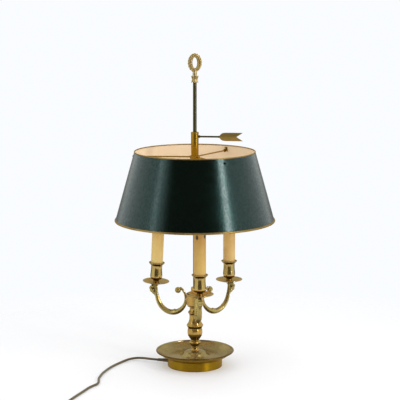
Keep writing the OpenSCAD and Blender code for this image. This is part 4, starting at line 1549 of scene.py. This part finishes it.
@dataclass
class Arm:
    """A scroll arm with its leaf, pan, cup, candle, holder and bulb."""

    light: Light
    line: tuple[Point2, ...] = (
        (89.5, 161), (88.7, 151), (86.9, 140), (83.5, 129.5), (77, 119.5), (67, 112), (55.5, 108.6),
        (44, 109.8), (33.5, 115.2), (26, 123), (21.8, 132), (21, 141), (23, 150.5), (28, 158.6),
        (34.5, 162.6))
    thick: tuple[float, ...] = (3, 3.4, 4.1, 4.7, 5.1, 5.2, 5.1, 4.9, 4.4, 3.7, 3.0, 2.5, 2.2, 2.2, 2.5)
    leaf_line: tuple[Point2, ...] = (
        (89.6, 139), (91.6, 144), (95, 148.8), (98.2, 153.4), (98.9, 157.8), (96.2, 161.4), (91.5, 162.6))
    leaf_wide: tuple[float, ...] = (0.8, 2.9, 4.4, 5.0, 4.7, 3.7, 2.3)
    leaf_thick: tuple[float, ...] = (0.8, 2.4, 4.0, 5.2, 4.8, 3.2, 2.0)
    bud: Point2 = (38.6, 157.2)
    bud_r: float = 6.3
    pan_z: float = 165.8
    cup_z: float = 167.2
    ledge: float = 209.5
    candle_r: float = CANDLE_R
    candle_h: float = 86.0
    holder_top: float = 291.0
    left_lean: float = 3.0
    screw_z: float = 139.0

    @property
    def place(self) -> Matrix:
        """Turns a form in the XZ plane to the arm's direction."""
        return Matrix.Rotation(self.light.angle, 4, "Z")

    @property
    def seat_at(self) -> Matrix:
        """Stands a turned form on the arm's end, which is bent a little on the left.

        Returns:
            Where the form goes.
        """
        lean = math.radians(self.left_lean if self.light is Light.LEFT else 0)
        return (self.place @ Matrix.Translation((ARM_REACH, 0, self.pan_z)) @ Matrix.Rotation(-lean, 4, "Y")
                @ Matrix.Translation((0, 0, -self.pan_z)))

    def reeds(self, share: float, angle: float) -> Point2:
        """The arm's section: reeds that deepen into a leaf at the bow.

        Args:
            share: The share of the arm's line.
            angle: The angle round it.

        Returns:
            How far across and outward, in mm.
        """
        t = share * (len(self.thick) - 1)
        radius = at(self.thick, t)
        radius *= 1 + 0.085 * math.cos(4 * angle) + 0.03 * math.cos(8 * angle)
        inward = max(0.0, -math.sin(angle)) ** 2
        ridge = math.exp(-((t - 6.95) / 0.2) ** 2)
        fold = math.exp(-((t - 6.55) / 0.25) ** 2)
        radius += 1.7 * inward * (ridge + 0.5 * fold)
        end = min(share / 0.01, (1 - share) / 0.01, 1)
        return radius * math.cos(angle) * (0.6 + 0.4 * end), radius * math.sin(angle) * (0.6 + 0.4 * end)

    def leaf(self, share: float, angle: float) -> Point2:
        """The leaf's section: veined outside, scalloped along its edges.

        Args:
            share: The share of the leaf's line.
            angle: The angle round it.

        Returns:
            How far across and outward, in mm.
        """
        t = share * (len(self.leaf_wide) - 1)
        lobe = abs(math.sin(math.pi * share * 5.5))
        wide = at(self.leaf_wide, t) * (0.80 + 0.26 * lobe)
        deep = at(self.leaf_thick, t) * (0.84 + 0.2 * lobe)
        veins = 1 + 0.16 * math.cos(7 * angle) * max(0.0, -math.sin(angle)) + 0.4 * max(0.0, math.sin(angle))
        return wide * math.cos(angle), deep * math.sin(angle) * veins

    def body(self) -> Piece:
        """Makes the cast arm with its leaf, scroll and collar.

        Returns:
            The arm.
        """
        mesh = bmesh.new()
        sweep(mesh, [(r, 0, z) for r, z in curve(self.line, 14)], self.reeds, (0, 1, 0), 48, self.place)
        sweep(mesh, [(r, 0, z) for r, z in curve(self.leaf_line, 12)], self.leaf, (0, 1, 0), 40, self.place)
        b = self.bud_r
        half = [(0, 0.99), (0.27, 0.95), (0.42, 0.83), (0.48, 0.70), (0.60, 0.74), (0.74, 0.68), (0.80, 0.56),
                (0.84, 0.46), (0.94, 0.36), (1.0, 0.16)]
        volute = [(b * r, -b * h) for r, h in half] + [(b * r, b * h) for r, h in reversed(half)]
        spot = self.place @ Matrix.Translation((self.bud[0], 0, self.bud[1]))
        lathe(mesh, curve(volute, 3), 40, spot @ Matrix.Rotation(math.pi / 2, 4, "X"))
        z = self.pan_z
        collar = [(0, z - 7.4), (3, z - 7), (3.4, z - 4.6), (5, z - 2.4), (6.4, z - 0.8), (6.4, z), (0, z)]
        lathe(mesh, rounded(collar, 0.3), 48, self.seat_at)
        lug = [(0, HUB_R), (3.4, HUB_R), (3.4, 21), (2.6, 21.6), (0, 21.6)]
        outward = Matrix.Translation((0, 0, self.screw_z)) @ ALONG_X
        lathe(mesh, rounded(lug, 0.3), 32, self.place @ outward)
        return new_piece(f"scroll_arm_{self.light.word}", mesh)

    def pan(self) -> list[Point2]:
        """The drip pan's outline.

        Returns:
            Its closed outline in mm.
        """
        z = self.cup_z
        upper = [(3.6, z), (6.8, z), *curve([(9.6, z + 0.4), (14.5, z + 1.5), (20.5, z + 3.4),
                                             (25.7, z + 5.3)], 6)]
        return rolled_sheet(upper, z - self.pan_z, (26.9, z + 5.1), 1.0)

    def cup(self) -> list[Point2]:
        """The candle cup's outline.

        Returns:
            Its closed outline in mm.
        """
        z, c = self.cup_z, self.ledge
        lip = c + 3.1
        outside = [(3.6, z), (6.6, z), (6.2, z + 1.2), (6, z + 6.8), (6.8, z + 8.4),
                   *curve([(9.4, z + 9.4), (11.6, z + 11.4), (12.6, z + 15.2), (12.5, z + 20),
                           (11.9, z + 26.5), (11.6, z + 33), (11.7, z + 37.6)], 6),
                   *curve([(12.2, c - 2.9), (13.6, c - 1.4), (15.4, c + 0.2), (16.6, lip - 1.2)], 5),
                   (16.7, lip - 0.5)]
        inside = [(16.3, lip), (15.7, lip), *curve([(14.8, lip - 1.3), (13.7, c + 0.5), (13.1, c)], 4),
                  (9.2, c), (9.2, z + 18), (3.6, z + 14)]
        return outside + inside

    def candle(self) -> Piece:
        """Makes the candle sleeve, with a few drips at its top.

        Returns:
            The sleeve.
        """
        low, top, r = self.ledge, self.ledge + self.candle_h, self.candle_r
        between = [low + 2 + i * (self.candle_h - 4) / 44 for i in range(45)]
        heights = [low, low + 0.6, *between, top - 0.5, top]
        outline = [(r - 1.1, low), *((r, h) for h in heights), (r - 1.1, top)]
        seed = self.light.value * 1.7
        drips = [(0.2 + seed, 9.0), (1.15 + seed, 5.5), (2.3 + seed, 12.0), (3.2 + seed, 6.5),
                 (4.25 + seed, 10.0), (5.3 + seed, 7.5)]

        def waxy(radius: float, height: float, angle: float) -> float:
            """Adds the drips to the sleeve's radius.

            Args:
                radius: The plain radius in mm.
                height: The height in mm.
                angle: The angle round the sleeve.

            Returns:
                The radius with the drips.
            """
            if radius < r - 0.5:
                return radius
            extra = -0.5
            for where, length in drips:
                near = math.cos(angle - where)
                wide = math.exp(-(1 - near) * 90)
                fall = 1 / (1 + math.exp(-(height - (top - length)) / 0.7))
                knob = math.exp(-((height - (top - length)) / 1.5) ** 2)
                extra += wide * (0.42 * fall + 0.28 * knob)
            return radius + min(extra, 0.1)

        return turned_piece(f"candle_sleeve_{self.light.word}", outline, self.seat_at, 0.2, 96, waxy)

    def bulb(self) -> list[Point2]:
        """The bulb's outline, closed over its hollow inside.

        Returns:
            Its closed outline in mm.
        """
        z = self.holder_top
        outer = curve([(6.8, z), (8.4, z + 5), (13.4, z + 14), (17, z + 26), (17.3, z + 34), (15, z + 47),
                       (10.4, z + 60), (5, z + 70), (2, z + 74)], 5)
        return [(0, z), *outer, (0, z + 75)]

    def build(self, finishes: Finishes) -> None:
        """Makes and dresses the arm and everything on it.

        Args:
            finishes: The lamp's finishes.
        """
        word, centre = self.light.word, self.light.centre
        # Its under setting darkens the pan's underside and the cup's foot, and its wide hollows darken the
        # cup's foot band: painted shade, with dirt in the hollows.
        spun = Brass(f"brass_pan_{word}", (0.54, 0.365, 0.112), (0.36, 0.235, 0.06), gloss=0.12, dull=0.2,
                     blotches=40.0, amount=0.4, marks=0.000004, dents=0.000008, coat=0.3,
                     dirt=(0.035, 0.018, 0.002), hollow=0.012, under=0.9, metal=0.9,
                     edge=(0.78, 0.64, 0.42), centre=centre).make()
        # The front candle's darker tones and the left candle's lighter ones are painted shade and painted
        # light on one kind of card.
        clean, aged, marks = {
            Light.FRONT: ((0.64, 0.42, 0.11), (0.58, 0.36, 0.085),
                          ((-27, 5.4, 5.2), (54, 3.8, 4.2), (150, 5, 3))),
            Light.RIGHT: ((0.72, 0.49, 0.17), (0.66, 0.42, 0.13), ((80, 4, 2.5),)),
            Light.LEFT: ((0.86, 0.64, 0.22), (0.80, 0.57, 0.18), ((-100, 4, 2.5),))}[self.light]
        waxed = CandleCard(f"candle_card_{word}", clean, aged, (0.56, 0.29, 0.06), centre,
                           self.ledge + self.candle_h, marks).make()
        seat(self.body(), Body.BASE, finishes.arm, [f"arm_{word}"])
        seat(turned_piece(f"wax_pan_{word}", self.pan(), self.seat_at), Body.BASE, spun,
             [f"drip_pan_{word}"])
        seat(turned_piece(f"candle_cup_{word}_turned", self.cup(), self.seat_at), Body.BASE, spun,
             [f"candle_cup_{word}"])
        seat(self.candle(), Body.BASE, waxed, [f"candle_{word}"])
        seat(turned_piece(f"bulb_glass_{word}", self.bulb(), self.seat_at, segments=64), Body.BASE,
             finishes.glass, [f"bulb_{word}"])
        dress(f"lamp_holder_{word}", finishes.resin)
        dress(f"bulb_cap_{word}", finishes.steel)


# ---------------------------------------------------------------- shade and slide


@dataclass
class Shade:
    """The painted shade with its rims, its spider, and the sleeve that slides on the pole."""

    low_r: float = 164.0
    top_r: float = 124.0
    z: float = 308.0
    height: float = 143.0
    sheet: float = 0.8
    turn: float = -62.0
    rod_z: float = 440.0
    rod_r: float = 1.5
    sleeve_z: float = 443.0
    sleeve_top: float = 488.0
    sleeve_r: float = SLEEVE_R
    bore: float = 4.2
    liner_seat: float = 6.0
    tab: Point3 = (1.3, 6.0, 10.0)
    rim_roll: float = 1.2
    bead_roll: float = 2.2

    def wall_r(self, z: float) -> float:
        """The shade's outer radius at a height."""
        return self.low_r + (self.top_r - self.low_r) * (z - self.z) / self.height

    def shell(self, finishes: Finishes) -> Piece:
        """Makes the shell, green outside and cream inside.

        Args:
            finishes: The lamp's finishes.

        Returns:
            The shell.
        """
        low, top, t = self.z, self.z + self.height, self.sheet
        steps = [low + (top - low) * k / 12 for k in range(13)]
        mesh = bmesh.new()
        outline = [*((self.wall_r(h), h) for h in steps), *((self.wall_r(h) - t, h) for h in reversed(steps))]
        faces = lathe(mesh, outline, 192)
        for face in faces:
            middle = face.calc_center_median()
            outer = math.hypot(middle.x, middle.y) > self.wall_r(middle.z) - t * 0.6
            face.material_index = 0 if outer else 1
        shell = new_piece("painted_shell", mesh)
        coat(shell, finishes.green, finishes.cream)
        return shell

    def rim(self, name: str, z: float, radius: float) -> Piece:
        """Makes a rolled edge round the shade.

        Args:
            name: The piece's name.
            z: Its height.
            radius: The roll's radius.

        Returns:
            The edge.
        """
        mesh = bmesh.new()
        middle = self.wall_r(z) - self.sheet / 2
        circle = [(middle + radius * math.cos(a), z + radius * math.sin(a)) for a in round_about(16)]
        lathe(mesh, circle, 192)
        return new_piece(name, mesh)

    @property
    def tilt(self) -> float:
        """How far the wall leans from upright, in radians."""
        return math.atan2(self.low_r - self.top_r, self.height)

    def rod(self) -> Piece:
        """Makes one rod of the spider, with a flat tab that stands against the shade.

        Returns:
            The rod.
        """
        mesh = bmesh.new()
        reach = self.wall_r(self.rod_z) - 2.6
        outline = [(0, 8.5), (self.rod_r, 8.5), (self.rod_r, 60), (self.rod_r, reach), (0, reach)]
        lathe(mesh, rounded(outline, 0.3), 20, ALONG_X)
        tab = Matrix.Translation((reach + 0.2, 0, 2.2)) @ Matrix.Rotation(-self.tilt, 4, "Y")
        bmesh.ops.create_cube(mesh, size=1, matrix=tab @ Matrix.Diagonal((*self.tab, 1)))
        rod = new_piece("spider_rods", mesh, crease=35)
        ease = rod.modifiers.new("ease", "BEVEL")
        ease.width, ease.segments, ease.limit_method = 0.0003, 2, "ANGLE"
        return applied(rod, ease)

    def screw(self) -> Piece:
        """Makes one slotted screw of those on the outside of the shade.

        Returns:
            The screw.
        """
        mesh = bmesh.new()
        head = [(0, -5), (1.3, -5), (1.3, 0.3), (2.5, 0.3), (2.4, 0.55), (1.8, 0.85), (1.0, 0.95), (0, 1.0)]
        lathe(mesh, head, 24, ALONG_X)
        for vert in mesh.verts:
            if vert.co.x > 0.7 and abs(vert.co.y) < 0.42:
                vert.co.x -= 0.4
        bmesh.ops.rotate(mesh, verts=mesh.verts, cent=(0, 0, 0), matrix=Matrix.Rotation(-self.tilt, 3, "Y"))
        return new_piece("wall_screws", mesh, crease=40)

    def nut(self) -> Piece:
        """Makes one small nut of those at the rods' ends.

        Returns:
            The nut.
        """
        mesh = bmesh.new()
        outline = [(self.rod_r, 0), (3.1, 0), (3.4, 0.3), (3.4, 1.9), (3.1, 2.2), (self.rod_r, 2.2)]
        lathe(mesh, outline, 6, ALONG_X)
        return new_piece("rod_nuts", mesh, crease=20)

    def build(self, finishes: Finishes, repeat: Repeat) -> None:
        """Makes and dresses the shade and what carries it.

        Args:
            finishes: The lamp's finishes.
            repeat: The trees that repeat a form.
        """
        seat(self.shell(finishes), Body.SHADE, finishes.green, ["shade_shell"])
        for name, z, radius, node in (("top_rim", self.z + self.height - 0.4, self.rim_roll, "shade_top_rim"),
                                      ("low_bead", self.z + 0.9, self.bead_roll, "shade_low_bead")):
            seat(self.rim(name, z, radius), Body.SHADE, finishes.gilt, [node])
        z, low, top, r, bore = self.rod_z, self.sleeve_z, self.sleeve_top, self.sleeve_r, self.bore
        hub = [(bore, z - 5), (8.8, z - 5), (10.2, z - 4), (10.2, z + 2), (9, low), (bore, low)]
        self.brass_piece("spider_hub", hub, finishes, "spider")
        screw_z = z + 1
        wall = self.wall_r(screw_z)
        for form, radius, height, look, slot, nodes in (
                (self.rod(), 0.0, z, finishes.sleeve, "sleeve_brass", []),
                (self.screw(), wall + 0.1, screw_z, finishes.black, "dark_brass", ["shade_screws"]),
                (self.nut(), wall - 9.3, z, finishes.dark, "dark_brass", ["spider_nuts"])):
            repeat.run(form, repeat.ring, Count=3, Radius=radius * MM, Height=height * MM,
                       Turn=math.radians(self.turn), Material=look)
            seat(form, Body.SHADE, look, nodes)
        sleeve = [(bore, low), (r, low), (r, low + 20), (r, top), (self.liner_seat, top),
                  (self.liner_seat, low + 2.2), (bore, low + 2.2)]
        self.brass_piece("sliding_sleeve", sleeve, finishes, "slide_sleeve")
        cap = turned([(r + 0.3, top), (r + 0.3, top + 2.2), (r - 0.4, top + 3)], POLE_R + 0.4)
        self.brass_piece("sleeve_ring", cap, finishes, "sleeve_cap")
        dress("grip_liner", finishes.dark)

    @staticmethod
    def brass_piece(name: str, outline: Sequence[Point2], finishes: Finishes, node: str) -> None:
        """Makes one turned piece of the slide, and seats it on the shade's body.

        Args:
            name: The piece's name.
            outline: Its closed outline in mm.
            finishes: The lamp's finishes.
            node: The node that it stands for.
        """
        seat(turned_piece(name, outline, segments=64), Body.SHADE, finishes.sleeve, [node])


@dataclass
class ArrowKey:
    """The arrow-shaped key that clamps the sleeve."""

    z: float = 481.6
    turn: float = -6.0
    reach: float = 98.5
    tail: float = 50.0
    half: float = 8.6
    swell: tuple[float, ...] = (1.6, 4.2, 6.4, 7.6, 8.1, 8.35, 8.5, 8.6)
    swell_step: float = 2.2
    sleeve_r: float = SLEEVE_R
    liner_r: float = 5.95
    notch: float = 13.5
    groove: float = 0.16
    groove_step: float = 2.9

    def edge(self, s: float) -> float:
        """Half the tail's height at a distance from the pole."""
        return at(self.swell, (s - self.tail) / self.swell_step)

    def feather(self, mesh: Mesh, side: int, place: Matrix) -> None:
        """Makes one half of the tail, grooved like the vanes of a feather.

        Args:
            mesh: The mesh that takes it.
            side: 1 for the upper half, -1 for the lower.
            place: Where it goes.
        """
        steps, rows = 88, 12
        front, back = [], []
        for i in range(steps + 1):
            s = self.tail + (self.reach - self.tail) * i / steps
            inner = self.half * max(0.0, (s - (self.reach - self.notch)) / self.notch)
            outer = max(self.edge(s), inner + 0.02)
            cut_f, cut_b = [], []
            for k in range(rows + 1):
                h = inner + (outer - inner) * k / rows
                wave = math.cos(2 * math.pi * (s - 0.9 * h) / self.groove_step)
                groove = self.groove * max(0.0, wave) ** 3 if k else 0.0
                thick = 1.9 - 1.4 * h / self.half - groove * (h > 0.8)
                cut_f.append(mesh.verts.new(place @ Vector((s, -thick, side * h))))
                cut_b.append(mesh.verts.new(place @ Vector((s, thick, side * h))))
            front.append(cut_f)
            back.append(cut_b)
        for i in range(steps):
            for k in range(rows):
                mesh.faces.new((front[i][k], front[i + 1][k], front[i + 1][k + 1], front[i][k + 1]))
                mesh.faces.new((back[i][k], back[i][k + 1], back[i + 1][k + 1], back[i + 1][k]))
            for k in (0, rows):
                mesh.faces.new((front[i][k], front[i + 1][k], back[i + 1][k], back[i][k]))
        for i in (0, steps):
            for k in range(rows):
                mesh.faces.new((front[i][k], front[i][k + 1], back[i][k + 1], back[i][k]))

    def build(self, finishes: Finishes) -> None:
        """Makes and dresses the key.

        Args:
            finishes: The lamp's finishes.
        """
        place = Matrix.Rotation(math.radians(self.turn), 4, "Z") @ Matrix.Translation((0, 0, self.z))
        r, tail, inner = self.sleeve_r, self.tail, self.liner_r + 0.3
        shaft = [(0, inner), (1.95, inner), (1.95, r + 0.4), (2.9, r + 0.4), (2.9, r + 2.2),
                 (2.2, r + 2.9), (1.8, r + 4), (1.8, 30), (1.8, tail - 2), (2.3, tail - 0.6),
                 (1.7, tail + 1.2), (1.2, tail + 4), (0, tail + 6)]
        mesh = bmesh.new()
        lathe(mesh, rounded(shaft, 0.25), 28, place @ ALONG_X)
        shank = len(mesh.faces)
        self.feather(mesh, 1, place)
        self.feather(mesh, -1, place)
        for i, face in enumerate(mesh.faces):
            face.material_index = int(i >= shank)
        key = new_piece("arrow_key_cast", mesh, crease=38)
        coat(key, finishes.shank, finishes.key)
        seat(key, Body.KEY, finishes.key, ["arrow_key"])


def main() -> None:
    """Builds the studio and the lamp, and reports each piece."""
    logging.basicConfig(level=logging.INFO, format="%(message)s")
    Studio().build()
    finishes = Finishes()
    repeat = Repeat()
    for part in (Cord(), Foot(), Stem()):
        part.build(finishes)
    Finial().build(finishes, repeat)
    for light in Light:
        Arm(light).build(finishes)
    dress("riser_tubes", finishes.steel)
    Shade().build(finishes, repeat)
    ArrowKey().build(finishes)


if __name__ == "__main__":
    main()
